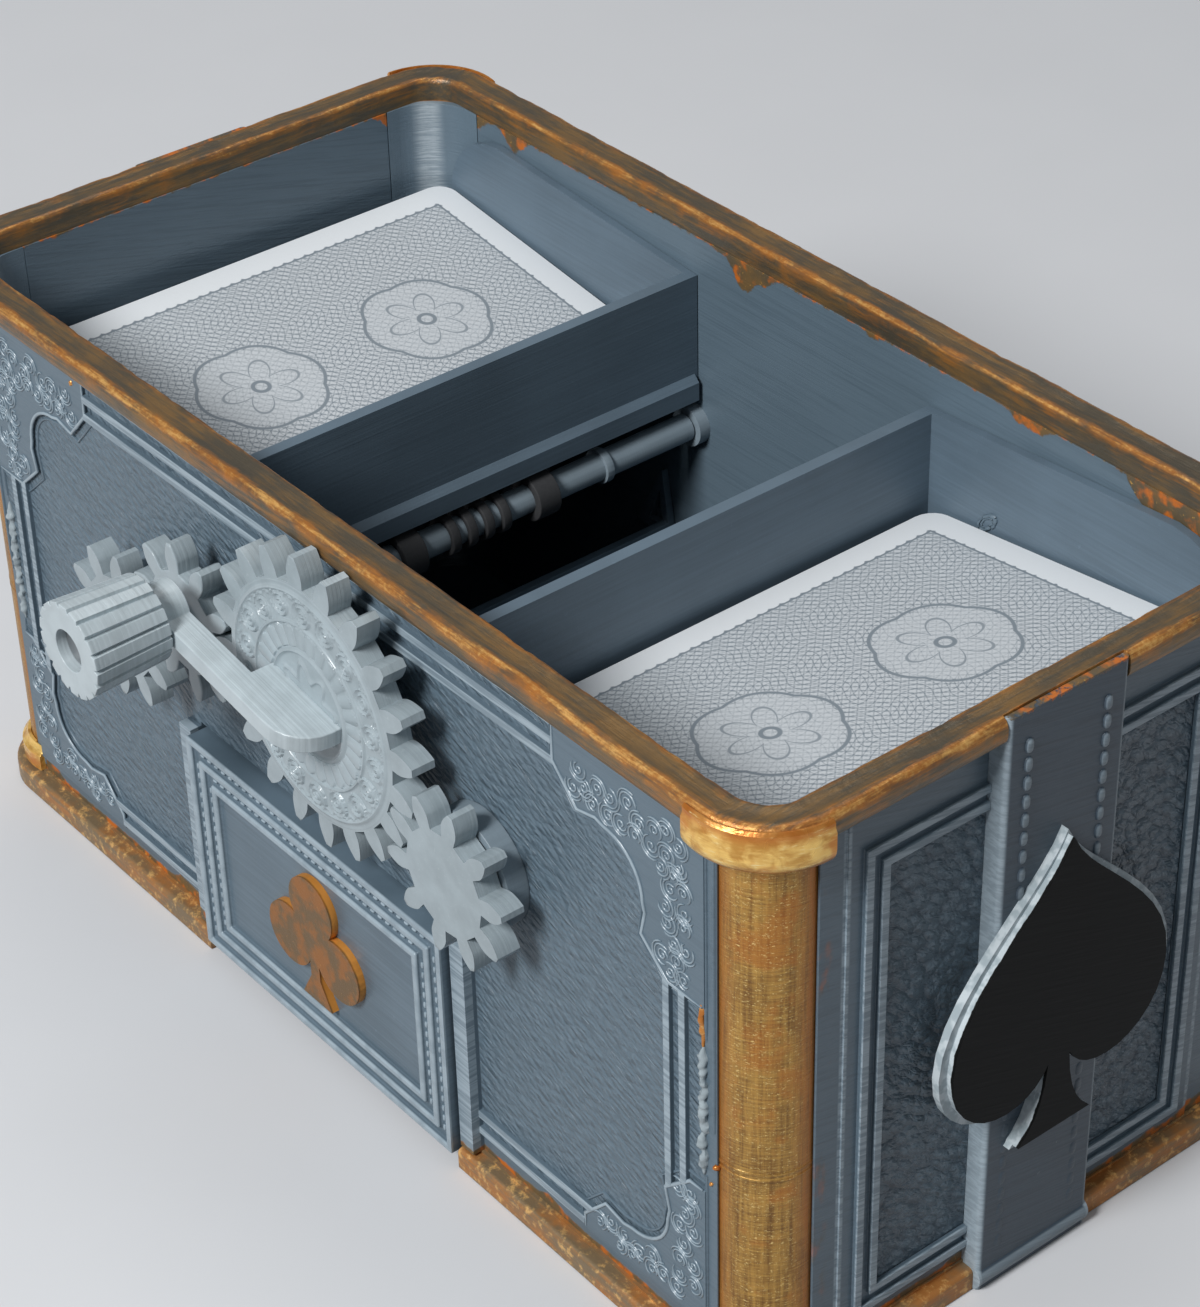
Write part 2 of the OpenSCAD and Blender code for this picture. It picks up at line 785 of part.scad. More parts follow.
// Bushes of the two feed shafts: a round boss in front, a thin flange behind
module feed_bushes() {
    color("lightsteelblue") for (at = [left_at, right_at]) {
        bush(at, boss_front, -wall_y, -inner_y + bush_proud, boss_r, shaft_r);
        mirror([0, 1, 0])
            bush(at, -wall_y - flange_t, -wall_y, -inner_y + bush_proud, back_boss_r, shaft_r);
    }
}

// Cups on the inner faces of the long walls that carry the exit rollers
module exit_bushes() {
    color("lightsteelblue") for (s = [-1, 1], e = [0, 1]) mirror([0, e, 0]) difference() {
        bar([s * exit_x, exit_z], -inner_y, -inner_y + cup_l, exit_r - 0.4);
        bar([s * exit_x, exit_z], -inner_y + cup_floor, 0, exit_end_r + run_fit);
    }
}

module crank_bush() {
    color("lightsteelblue")
        bush(crank_at, boss_front, -wall_y, -inner_y + bush_proud, crank_boss_r, axle_r);
}

// Fixed stub on which the idler runs, with a shoulder behind the gear and a head inside
module idler_axle() {
    color("lightsteelblue") {
        bar(idler_at, gear_front - 0.2, -inner_y, shaft_r);
        bar(idler_at, boss_front, -wall_y, shaft_r + 3);
    }
}

// Cap that keeps the idler on its stub
module idler_cap() {
    color("lightsteelblue") bar(idler_at, gear_front - 1, gear_front - 0.2, shaft_r + 1);
}

// Roll angle of the curve of a tooth's face, in degrees
function involute(a) = tan(a) * 180 / PI - a;

// Half of a tooth's width at radius r, as an angle
function tooth_half(n, r) =
    let (pitch_r = gear_m * n / 2, base_r = pitch_r * cos(press_angle))
        (PI * gear_m / 2 - tooth_play) / (2 * pitch_r) * 180 / PI + involute(press_angle)
            - involute(acos(min(1, base_r / r)));

// Outline of a gear with n teeth, one of them centred on the angle turn
function gear_points(n, turn) =
    let (pitch_r = gear_m * n / 2, base_r = pitch_r * cos(press_angle),
         root_r = pitch_r - 1.15 * gear_m, tip_r = pitch_r + gear_m, steps = 5,
         start_r = max(base_r, root_r + 0.01))
        [for (i = [0:n - 1], s = [-1, 1], k = [-1:steps])
            let (j = s < 0 ? k : steps - 1 - k,
                 r = j < 0 ? root_r : start_r + (tip_r - start_r) * j / steps,
                 a = turn + i * 360 / n + s * tooth_half(n, max(r, start_r)))
                r * [cos(a), sin(a)]];

// Gear with its back face at gear_back and a bore of the given depth from behind
module gear(at, n, turn, r, depth) {
    translate([at[0], gear_back, at[1]]) rotate([90, 0, 0]) difference() {
        linear_extrude(gear_t) polygon(gear_points(n, turn));
        translate([0, 0, -1]) cylinder(h = depth + 1, r = r);
    }
}

module crank_gear() {
    color("lightgray")
        gear(crank_at, crank_teeth, gear_turn, axle_r + seam, gear_t - gear_face_t);
}

module idler_gear() {
    color("lightgray") gear(idler_at, idler_teeth, idler_turn, shaft_r + run_fit, gear_t + 1);
}

module pinion_right() {
    color("lightgray")
        gear(right_at, small_teeth, right_turn, shaft_r + seam, gear_t - gear_face_t);
}

module pinion_left() {
    color("lightgray")
        gear(left_at, small_teeth, left_turn, shaft_r + seam, gear_t - gear_face_t);
}

module crank_axle() {
    color("silver") bar(crank_at, gear_front + gear_face_t, crank_clip_y + clip_t + 0.6, axle_r);
}

// Ring on a shaft that keeps it from sliding out of its bush
module clip(at, y, r) {
    color("silver") difference() {
        bar(at, y, y + clip_t, r + clip_out);
        bar(at, y - 1, y + clip_t + 1, r + seam);
    }
}

module crank_clip() { clip(crank_at, crank_clip_y, axle_r); }
module shaft_clip_left() { clip(left_at, shaft_clip_y, shaft_r); }
module shaft_clip_right() { clip(right_at, shaft_clip_y, shaft_r); }

// Places the children at the crank axle with the arm's direction along X
module on_crank() {
    translate([crank_x, gear_front, crank_z]) rotate([0, -crank_dir, 0]) children();
}

// A round bar along Y on the crank, at the knob's place
module crank_bar(y0, y1, r) {
    translate([crank_r, y1, 0]) rotate([90, 0, 0]) cylinder(h = y1 - y0, r = r);
}

// Blade of the crank: hub block, arm, and the eye for the knob's pin
module crank_arm() {
    color("lightgray") on_crank() difference() {
        union() {
            translate([0, 0, -blade_t / 2]) linear_extrude(blade_t) polygon([
                [hub_head, 0],
                [-hub_tail, 0],
                for (a = [0:15:90])
                    [-hub_tail + hub_r * (1 - cos(a)), -blade_d + hub_r * (1 - sin(a))],
                [crank_r, -blade_d],
                [crank_r, -blade_d + arm_d],
                [hub_head, -blade_d + arm_d]
            ]);
            crank_bar(-blade_d, -blade_d + arm_d, arm_eye_r);
        }
        crank_bar(-blade_d - 1, 1, pin_r + seam);
    }
}

// Pin through the arm's eye, with a head in the knob's recess
module knob_pin() {
    head_y = -knob_back - knob_l + knob_recess - boss_gap;
    color("silver") on_crank() {
        crank_bar(head_y, -blade_d + arm_d, pin_r);
        crank_bar(head_y - pin_head_t, head_y, pin_head_r);
    }
}

// Ribbed knob, a little thinner at its back, with a recess for the pin's head
module crank_knob() {
    pitch = 360 / knob_ribs;
    back_r = knob_r - 0.8;
    color("lightgray") on_crank() difference() {
        translate([crank_r, -knob_back, 0]) rotate([90, 0, 0])
            linear_extrude(knob_l, scale = knob_r / back_r) polygon([
                for (i = [0:knob_ribs - 1], p = [[-0.47, 0.65], [-0.36, 0], [0.36, 0], [0.47, 0.65]])
                    (back_r - p[1]) * [cos((i + p[0]) * pitch), sin((i + p[0]) * pitch)]
            ]);
        crank_bar(-knob_back - knob_l - 1, 0, pin_r + run_fit);
        crank_bar(-knob_back - knob_l - 1, -knob_back - knob_l + knob_recess, pin_head_r + boss_gap);
    }
}

module feed_shaft(at) {
    color("silver") bar(at, gear_front + gear_face_t, shaft_clip_y + clip_t + 0.6, shaft_r);
}

module feed_shaft_left() { feed_shaft(left_at); }
module feed_shaft_right() { feed_shaft(right_at); }

// A ring of the given width round a shaft, centred at y
module ring(at, y, w, r, hole) {
    difference() {
        bar(at, y - w / 2, y + w / 2, r);
        bar(at, y - w, y + w, hole);
    }
}

module feed_tyres(at) {
    color("#2b2b2d") for (s = [-1, 1])
        ring(at, s * tyre_gap / 2, tyre_w, tyre_r, shaft_r + seam);
}

module feed_tyres_left() { feed_tyres(left_at); }
module feed_tyres_right() { feed_tyres(right_at); }

// Free-turning rod under the gate, with thin ends that run in the cups
module exit_roller(side) {
    at = [side * exit_x, exit_z];
    rod_y = inner_y - cup_l - boss_gap;
    end_y = inner_y - cup_floor - run_fit;
    color("lightsteelblue") {
        bar(at, -rod_y, rod_y, exit_rod_r);
        bar(at, -end_y, end_y, exit_end_r);
        for (s = [-1, 1]) ring(at, s * exit_ring_y, exit_ring_w, exit_rod_r + 0.6, exit_rod_r - sunk);
    }
}

module exit_roller_left() { exit_roller(-1); }
module exit_roller_right() { exit_roller(1); }

// Discs on the exit roller: two wide ones and a row of narrow ones between them
module exit_tyres(side) {
    at = [side * exit_x, exit_z];
    color("#3a3c40") {
        for (s = [-1, 1]) ring(at, s * disc_y, disc_w, exit_r, exit_rod_r + seam);
        for (k = [-1.5:1:1.5]) ring(at, k * rib_step, rib_step / 2, rib_r, exit_rod_r + seam);
    }
}

module exit_tyres_left() { exit_tyres(-1); }
module exit_tyres_right() { exit_tyres(1); }

// Open tray behind the drawer's front
module drawer_box() {
    drawer_l = drawer_end - drawer_start;
    color("lightslategray") difference() {
        translate([-drawer_x, drawer_start, drawer_z]) cube([2 * drawer_x, drawer_l, drawer_side_h]);
        translate([-drawer_in, drawer_start - 1, drawer_z + drawer_floor])
            cube([2 * drawer_in, drawer_l + 1 - drawer_wall, drawer_side_h]);
    }
}

module drawer_lines(inset) {
    w = 2 * (drawer_x - inset);
    h = drawer_h - 2 * inset;
    translate([0, drawer_z + drawer_h / 2]) difference() {
        square([w, h], center = true);
        square([w - 2 * line_w, h - 2 * line_w], center = true);
    }
}

module drawer_front() {
    color("slategray") {
        upright(drawer_start, drawer_start - drawer_face_y) translate([-drawer_x, drawer_z])
            square([2 * drawer_x, drawer_h]);
        for (k = [0, 1, 2]) upright(drawer_face_y + sunk, line_h + sunk)
            drawer_lines(2.4 * line_w * k);
    }
}

// Flat figure of a club, standing on the origin
module club_figure(w) {
    lobe = w * 0.235;
    translate([0, w * 0.78]) circle(lobe);
    for (s = [-1, 1]) translate([s * (w / 2 - lobe), w * 0.42]) circle(lobe);
    translate([0, w * 0.5]) circle(w * 0.15);
    polygon([[-w * 0.16, 0], [w * 0.16, 0], [w * 0.05, w * 0.2], [w * 0.05, w * 0.5],
             [-w * 0.05, w * 0.5], [-w * 0.05, w * 0.2]]);
}

module club_emblem() {
    color("darkorange") upright(drawer_face_y, club_t)
        translate([0, drawer_z + (drawer_h - club_w) / 2]) club_figure(club_w);
}

module card_pack() {
    on_slope() translate([card_w / 2, pack_shift, 0]) linear_extrude(pack_t)
        box_plan(card_w / 2, card_l / 2, card_r);
}

module card_pack_right() {
    color("white") card_pack();
}

module card_pack_left() {
    color("white") mirror([1, 0, 0]) card_pack();
}

floor_plate();
base_trim();
front_wall();
back_wall();
end_wall_left();
end_wall_right();
top_rim();
column_front_left();
column_front_right();
column_back_left();
column_back_right();
column_collars();
column_bases();
strap_left();
strap_right();
spade_left();
spade_right();
tray_left();
tray_right();
bin_wall_left();
bin_wall_right();
feed_bushes();
exit_bushes();
crank_bush();
idler_axle();
crank_gear();
crank_axle();
crank_clip();
crank_arm();
knob_pin();
crank_knob();
idler_gear();
idler_cap();
pinion_left();
pinion_right();
feed_shaft_left();
feed_shaft_right();
feed_tyres_left();
feed_tyres_right();
shaft_clip_left();
shaft_clip_right();
exit_roller_left();
exit_roller_right();
exit_tyres_left();
exit_tyres_right();
drawer_box();
drawer_front();
club_emblem();
card_pack_left();
card_pack_right();
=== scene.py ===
"""Looks of the hand-cranked card shuffler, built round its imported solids."""

import json
import math
import random
import bmesh
import bpy
from mathutils import Matrix, Vector, noise


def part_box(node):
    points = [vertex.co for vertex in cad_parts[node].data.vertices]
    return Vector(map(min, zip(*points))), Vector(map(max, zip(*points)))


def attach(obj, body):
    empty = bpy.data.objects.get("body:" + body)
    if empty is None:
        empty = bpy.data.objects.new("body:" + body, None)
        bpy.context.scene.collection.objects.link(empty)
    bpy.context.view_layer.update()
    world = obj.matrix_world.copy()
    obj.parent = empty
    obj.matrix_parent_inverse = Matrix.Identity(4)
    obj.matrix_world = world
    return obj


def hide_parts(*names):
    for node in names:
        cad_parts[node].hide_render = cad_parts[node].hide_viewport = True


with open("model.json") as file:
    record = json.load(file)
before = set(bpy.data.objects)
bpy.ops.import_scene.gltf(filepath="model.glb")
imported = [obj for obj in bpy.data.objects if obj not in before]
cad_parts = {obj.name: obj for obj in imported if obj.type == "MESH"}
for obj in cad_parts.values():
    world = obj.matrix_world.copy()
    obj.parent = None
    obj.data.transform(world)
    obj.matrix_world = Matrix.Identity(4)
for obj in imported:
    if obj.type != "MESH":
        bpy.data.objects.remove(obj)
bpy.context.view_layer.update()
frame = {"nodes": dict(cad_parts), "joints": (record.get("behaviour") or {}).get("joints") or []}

nodes = frame["nodes"]
MM = 0.001


def top_of(name):
    """The highest corner of a node's box, in millimetres."""
    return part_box(name)[1] / MM


# Sizes in millimetres. Walls, depth of their outer finish, rim, and its notch at each strap
WALL_X, WALL_Y, _ = top_of("floor_plate")
SKIN_T = 1.5
RIM_X, RIM_Y, TOP = top_of("top_rim")
RIM_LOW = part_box("top_rim")[0].z / MM
RIM_R = 11.9
RIM_W = 5.8
NOTCH = 1.25

# Columns: axis and radius, and the hollow of the inner corners with its radius
COLUMN_X = RIM_X - RIM_R
COLUMN_Y = RIM_Y - RIM_R
COLUMN_R = 7.9
INNER_X = 88.99
INNER_Y = 39.0
INNER_R = 9.0

# Leather panels of the long walls, and the corner plates that stand out from them
PANEL_X = 89.5
PANEL_LOW = 7.3
PANEL_HIGH = 98.5
PLATE_PROUD = 0.5

# Hammered panels of the end walls: half width, lower and upper end, and the brim beside them
FRAME_Y = 29.1
FRAME_LOW = 11.5
FRAME_HIGH = 87.8
EDGE_Y = 36.0

# Cards: size, corner radius, number and height of a stack, and slope of the trays
CARD_W = 63.5
CARD_L = 88.9
CARD_R = 3.5
STACK_CARDS = 26
STACK_H = 7.6
TILT = math.radians(7.3)

# Corner plates of the long walls: reach along an edge and width, and the bands of their scrolls
TOP_PLATE = (31.0, 12.4)
FOOT_PLATE = (27.0, 8.0)
TOP_BANDS = ((4.6, 5.2, 27.2, 10.2), (3.4, 11.6, 8.6, 29.0))
FOOT_BANDS = ((5.4, 2.4, 25.0, 6.0), (2.4, 5.4, 6.0, 25.0))

# Straps, and the faces that stand out furthest
STRAP_W = 22.5
STRAP_FACE = RIM_X
SPADE_FACE = top_of("spade_right").x
CLUB_FACE = -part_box("club_emblem")[0].y / MM
GEAR_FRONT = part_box("crank_gear")[0].y / MM
DRAWER_FACE = -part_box("drawer_front")[0].y / MM

# How deep raised lines and stitches are sunk into the face they lie on
LINE_SINK = 0.05
STITCH_SINK = 0.03


class Socket:
    """An output of a shader node. Arithmetic on it adds Math nodes."""

    def __init__(self, finish, out):
        self.finish = finish
        self.out = out

    def math(self, operation, *terms):
        values = dict(enumerate(terms))
        return self.finish.node("ShaderNodeMath", {"operation": operation}, values)

    def __add__(self, other):
        return self.math("ADD", self, other)

    def __radd__(self, other):
        return self.math("ADD", other, self)

    def __sub__(self, other):
        return self.math("SUBTRACT", self, other)

    def __rsub__(self, other):
        return self.math("SUBTRACT", other, self)

    def __mul__(self, other):
        return self.math("MULTIPLY", self, other)

    def __rmul__(self, other):
        return self.math("MULTIPLY", other, self)

    def __truediv__(self, other):
        return self.math("DIVIDE", self, other)

    def __rtruediv__(self, other):
        return self.math("DIVIDE", other, self)

    def __neg__(self):
        return self.math("MULTIPLY", self, -1)

    def __abs__(self):
        return self.math("ABSOLUTE", self)

    def sin(self):
        return self.math("SINE", self)

    def root(self):
        return self.math("SQRT", self)

    def least(self, other):
        return self.math("MINIMUM", self, other)

    def most(self, other):
        return self.math("MAXIMUM", self, other)

    def step(self, low, high):
        """0 below low, 1 above high, and smooth between them; low may be the larger."""
        values = {"Value": self, "From Min": low, "From Max": high}
        return self.finish.node("ShaderNodeMapRange", {"interpolation_type": "SMOOTHSTEP"}, values)


class Finish:
    """A material for one kind of surface, with its nodes; lengths in it are millimetres."""

    def __init__(self, name):
        self.material = bpy.data.materials.new(name)
        self.material.use_nodes = True
        self.tree = self.material.node_tree
        self.tree.nodes.clear()
        metres = self.node("ShaderNodeTexCoord", output="Object")
        to_mm = {0: metres, "Scale": 1000}
        self.place = self.node("ShaderNodeVectorMath", {"operation": "SCALE"}, to_mm)
        self.x, self.y, self.z = self.split(self.place)

    def node(self, kind, settings=None, values=None, output=0):
        """Adds a node with its settings, socket values and links, and gives back one output."""
        made = self.tree.nodes.new(kind)
        for key, value in (settings or {}).items():
            setattr(made, key, value)
        for key, value in (values or {}).items():
            if isinstance(value, Socket):
                self.tree.links.new(value.out, made.inputs[key])
            else:
                made.inputs[key].default_value = value
        return Socket(self, made.outputs[output]) if made.outputs else None

    def split(self, vector):
        made = self.node("ShaderNodeSeparateXYZ", None, {0: vector}).out.node
        return [Socket(self, out) for out in made.outputs]

    def mix(self, a, b, amount):
        """Blends two colours, which are sockets 6 and 7 of the node; the result is its output 2."""
        values = {0: amount, 6: rgba(a), 7: rgba(b)}
        return self.node("ShaderNodeMix", {"data_type": "RGBA"}, values, output=2)

    def stretched(self, x, y, z):
        """Places scaled along each axis, in units per millimetre."""
        values = {0: self.place, 1: (x, y, z)}
        return self.node("ShaderNodeVectorMath", {"operation": "MULTIPLY"}, values)

    def noise(self, scale=1.0, where=None, detail=2.0, rough=0.5, warp=0.0):
        values = {"Vector": where or self.place, "Scale": scale, "Detail": detail,
                  "Roughness": rough, "Distortion": warp}
        return self.node("ShaderNodeTexNoise", None, values)

    def cells(self, where):
        """Distance to the middle of the nearest of many scattered cells."""
        return self.node("ShaderNodeTexVoronoi", None, {"Vector": where, "Scale": 1.0})

    def facing(self, axis):
        """How squarely the surface faces along an axis, without regard to sign."""
        normal = self.node("ShaderNodeTexCoord", output="Normal")
        return abs(self.split(normal)["xyz".index(axis)])

    def attribute(self, name):
        return self.node("ShaderNodeAttribute", {"attribute_name": name}, None, output="Fac")

    def done(self, colour, roughness=0.5, height=None, metallic=0.0, **more):
        """Ends the material; height is the relief in millimetres."""
        values = {"Base Color": rgba(colour), "Roughness": roughness, "Metallic": metallic}
        values.update({key.replace("_", " "): value for key, value in more.items()})
        if height is not None:
            bump = {"Height": height, "Distance": MM, "Strength": 1.0}
            values["Normal"] = self.node("ShaderNodeBump", None, bump)
        shader = self.node("ShaderNodeBsdfPrincipled", None, values)
        self.node("ShaderNodeOutputMaterial", None, {"Surface": shader})
        return self.material


def rgba(colour):
    """A colour with its fourth part, or a socket as it is."""
    if isinstance(colour, Socket) or len(colour) == 4:
        return colour
    return (*colour, 1)


def shade(r, g, b):
    """A colour as it is read from a screen, 0 to 255, turned into the light it reflects."""
    return tuple(((v / 255 + 0.055) / 1.055) ** 2.4 if v > 10 else v / 3295 for v in (r, g, b))


# Colours of the plastics and paints
BODY = shade(101, 119, 132)
BODY_DARK = shade(84, 101, 113)
BODY_PALE = shade(128, 147, 160)
# Pale tone painted on crests, ridges and edges as a highlight
PAINTED_HIGHLIGHT = shade(172, 188, 198)
STRAP_TONE = shade(64, 79, 92)
PALE = shade(164, 177, 183)
PALE_WORN = shade(196, 206, 211)
BROWN = shade(112, 88, 54)
OLIVE = shade(92, 80, 60)
ORANGE = shade(190, 104, 34)
GOLD = shade(224, 170, 78)
INK = shade(96, 110, 121)
PAPER = shade(226, 230, 233)


# Marks that several finishes share

def turned(f, axis, degrees, x=1.0, y=1.0, z=1.0):
    """Places turned about an axis and then scaled, for marks that run at a slant."""
    values = {"Vector": f.place, "Angle": math.radians(degrees)}
    swung = f.node("ShaderNodeVectorRotate", {"rotation_type": axis + "_AXIS"}, values)
    return f.node("ShaderNodeVectorMath", {"operation": "MULTIPLY"}, {0: swung, 1: (x, y, z)})


def layers(f, along, grain):
    """Fine lines of the printed layers, stacked along an axis."""
    scales = [2.6 if axis == along else 0.02 for axis in "xyz"]
    lines = f.noise(1.0, f.stretched(*scales), detail=3, rough=0.6)
    return lines * grain


def plastic_tone(f, base, dark, light):
    """Printed plastic seen close: cloudy, with pale rubbed specks and thin dull streaks."""
    cloud = f.noise(0.05, detail=3)
    scuffs = f.noise(0.8, detail=4, rough=0.7)
    streaks = f.noise(1.0, f.stretched(0.05, 0.05, 1.9), detail=4, rough=0.65)
    tone = f.mix(base, dark, (cloud * 0.6 + streaks * 0.6).step(0.4, 0.8))
    return f.mix(tone, light, scuffs.step(0.62, 0.8) * 0.4), scuffs


def gilding(f):
    """Brushed gold and copper paint: its colour and roughness."""
    patch = f.noise(0.16, detail=4, rough=0.6)
    fleck = f.noise(1.3, detail=3, rough=0.7)
    brown = f.mix(OLIVE, BROWN, patch.step(0.4, 0.6))
    warm = f.mix(brown, ORANGE, f.noise(0.35, detail=3).step(0.46, 0.62))
    colour = f.mix(warm, GOLD, fleck.step(0.62, 0.76) * 0.8)
    return colour, 0.36 + 0.2 * patch


def overspill(f, tone, rough, where):
    """Gold paint over a plastic where the mask is 1: colour, roughness and thickness."""
    gold, gold_rough = gilding(f)
    colour = f.mix(tone, gold, where)
    return colour, rough * (1 - where) + gold_rough * where, where * 0.6


def run_down(f, reach, share):
    """Mask of paint that ran down from the rim in long uneven smears."""
    swell = f.noise(0.045, f.stretched(1, 1, 0.2), detail=2)
    ragged = f.noise(0.5, detail=4, rough=0.65)
    depth = swell.step(share, share + 0.16) * reach + (ragged - 0.5) * 2.2
    return (f.z + depth).step(RIM_LOW - 0.2, RIM_LOW + 0.25)


def foot_paint(f, outside):
    """Mask of paint that crept up from the foot moulding."""
    ragged = f.noise(0.5, detail=4, rough=0.65)
    swell = f.noise(0.06, f.stretched(1, 1, 0.3), detail=2).step(0.5, 0.66)
    return (f.z - swell * 1.6 - ragged * 1.2).step(4.9, 4.4) * outside


# Finishes

def printed(name, colour, along="z", gloss=0.42):
    """Plain printed plastic with layer lines."""
    f = Finish(name)
    dark = [c * 0.8 for c in colour]
    light = [min(1, c * 1.35) for c in colour]
    tone, scuffs = plastic_tone(f, colour, dark, light)
    height = layers(f, along, 0.035) + scuffs * 0.012
    return f.done(tone, gloss + 0.14 * scuffs, height)


def raised_plastic(name, level, reach=0.3):
    """Plastic of raised lines: bare tone below the level (mm from the middle), with a painted highlight
    above.
    """
    f = Finish(name)
    tone, scuffs = plastic_tone(f, BODY, BODY_DARK, BODY_PALE)
    # Painted highlight on the crests, made patchy by noise
    crest = (abs(f.y) - level).step(0, reach)
    mottle = 0.7 + 0.3 * f.noise(0.3, detail=2).step(0.35, 0.6)
    tone = f.mix(tone, PAINTED_HIGHLIGHT, crest * mottle * 0.75)
    height = layers(f, "z", 0.035) + scuffs * 0.012
    return f.done(tone, 0.34 - 0.12 * crest, height)


def leather_skin(f):
    """Relief of the leather-like panels, with the pebbles and wrinkles that it is made of."""
    pebbles = f.cells(turned(f, "Y", -22, 0.52, 1.0, 1.0))
    wrinkle = f.noise(1.0, turned(f, "Y", -20, 0.72, 1.0, 1.0), detail=3, rough=0.6, warp=0.6)
    lines = f.noise(1.0, turned(f, "Y", -16, 0.05, 1.0, 2.2), detail=2)
    gouge = f.noise(1.0, turned(f, "Y", -33, 0.09, 1.0, 2.0), detail=2)
    patchy = 0.35 + 0.9 * f.noise(0.06, detail=2)
    skin = ((0.6 - pebbles) * 0.5 + wrinkle * 0.4) * patchy
    skin = skin + lines.step(0.56, 0.72) * 0.08 - gouge.step(0.64, 0.74) * 0.14
    return skin, pebbles, wrinkle


def leather_wall(name, front):
    """Long wall: leather-like panel outside, plain inside, and paint that ran over its edges."""
    f = Finish(name)
    depth = f.y * (-1 if front else 1)
    outside = (depth - (WALL_Y - SKIN_T)).step(0, 0.2)
    flat = outside * f.facing("y").step(0.8, 0.95)
    panel = (depth - (WALL_Y + 0.12)).step(0.06, 0) * flat
    panel = panel * (PANEL_X - abs(f.x)).step(0.2, 0.6) * (f.z - PANEL_LOW).step(0.2, 0.6)
    skin, pebbles, wrinkle = leather_skin(f)
    soft = f.noise(0.04, detail=3)
    tone = f.mix(BODY, BODY_DARK, soft * 0.7)
    # Painted highlight on the wrinkle crests and painted shade in the hollows between pebbles
    tone = f.mix(tone, BODY_PALE, panel * wrinkle.step(0.5, 0.7) * 0.3)
    tone = f.mix(tone, BODY_DARK, panel * pebbles.step(0.4, 0.75) * 0.4)
    streaks = f.noise(1.0, f.stretched(0.05, 0.05, 1.6), detail=4, rough=0.65)
    tone = f.mix(tone, BODY_DARK, (1 - panel) * streaks.step(0.45, 0.7) * 0.6)
    # Painted highlight on the ridges and raised edges that stand out furthest
    ridge = (depth - (WALL_Y + PLATE_PROUD)).step(0.1, 0.25) * outside
    tone = f.mix(tone, PAINTED_HIGHLIGHT, ridge * (0.3 + 0.5 * streaks.step(0.4, 0.6)))
    rough = 0.28 + 0.16 * wrinkle
    gold = run_down(f, 6.0, 0.5) * (1 - outside)
    colour, rough, coat = overspill(f, tone, rough, gold.most(foot_paint(f, outside)))
    height = layers(f, "z", 0.05) + skin * panel + coat * 0.06
    return f.done(colour, rough, height)


def hammer_marks(f):
    """Relief of the hammered panels, with the blows and ripples that it is made of."""
    ripple = f.noise(1.0, turned(f, "X", 35, 1.0, 0.5, 0.9), detail=3, warp=1.2)
    blows = f.cells(turned(f, "X", 40, 1.0, 0.34, 0.64))
    small = f.cells(turned(f, "X", 52, 1.0, 0.8, 1.5))
    return (0.7 - blows) * 1.5 + (0.6 - small) * 0.3 + ripple * 1.0, blows, ripple


def hammered_wall(name, side):
    """End wall: hammered panels inside raised frames, plain elsewhere."""
    f = Finish(name)
    depth = f.x * side
    outside = (depth - (WALL_X - SKIN_T)).step(0, 0.2)
    flat = outside * f.facing("x").step(0.8, 0.95)
    field = (depth - (WALL_X + 0.45)).step(0.08, 0) * flat
    field = field * abs(f.y).step(FRAME_Y, FRAME_Y - 0.3)
    field = field * (f.z - FRAME_LOW).step(-0.2, 0.3) * (f.z - FRAME_HIGH).step(0.2, -0.3)
    skin, blows, ripple = hammer_marks(f)
    tone = f.mix(BODY, BODY_DARK, f.noise(0.05, detail=3) * 0.7)
    # Painted shade in the hollows between the hammer blows
    tone = f.mix(tone, shade(66, 80, 92), field * blows.step(0.35, 0.8) * 0.7)
    slant = f.noise(1.0, turned(f, "X", 14, 1.0, 0.05, 1.5), detail=4, rough=0.65)
    tone = f.mix(tone, shade(78, 93, 105), (1 - field) * slant.step(0.44, 0.66) * 0.5)
    # Painted highlight on the frame ridges and along the brim beside the panel
    ridge = (depth - (WALL_X + 0.6)).step(0.1, 0.3) * outside
    brim = abs(abs(f.y) - EDGE_Y).step(0.75, 0.3) * outside
    tone = f.mix(tone, PAINTED_HIGHLIGHT, ridge.most(brim) * (0.25 + 0.55 * slant.step(0.4, 0.6)))
    gold = run_down(f, 3.0, 0.56) * (1 - outside)
    beside = (abs(f.y) - (COLUMN_Y - 4.4)).step(0, 1.6) * outside
    smear = f.noise(0.12, f.stretched(1, 1, 0.45), detail=4, rough=0.7).step(0.56, 0.7) * beside
    gold = gold.most(foot_paint(f, outside)).most(smear * 0.5)
    colour, rough, coat = overspill(f, tone, 0.28 + 0.14 * ripple, gold)
    height = layers(f, "z", 0.05) + slant * 0.1 * (1 - field) + skin * field * 0.85 + coat * 0.05
    return f.done(colour, rough, height)


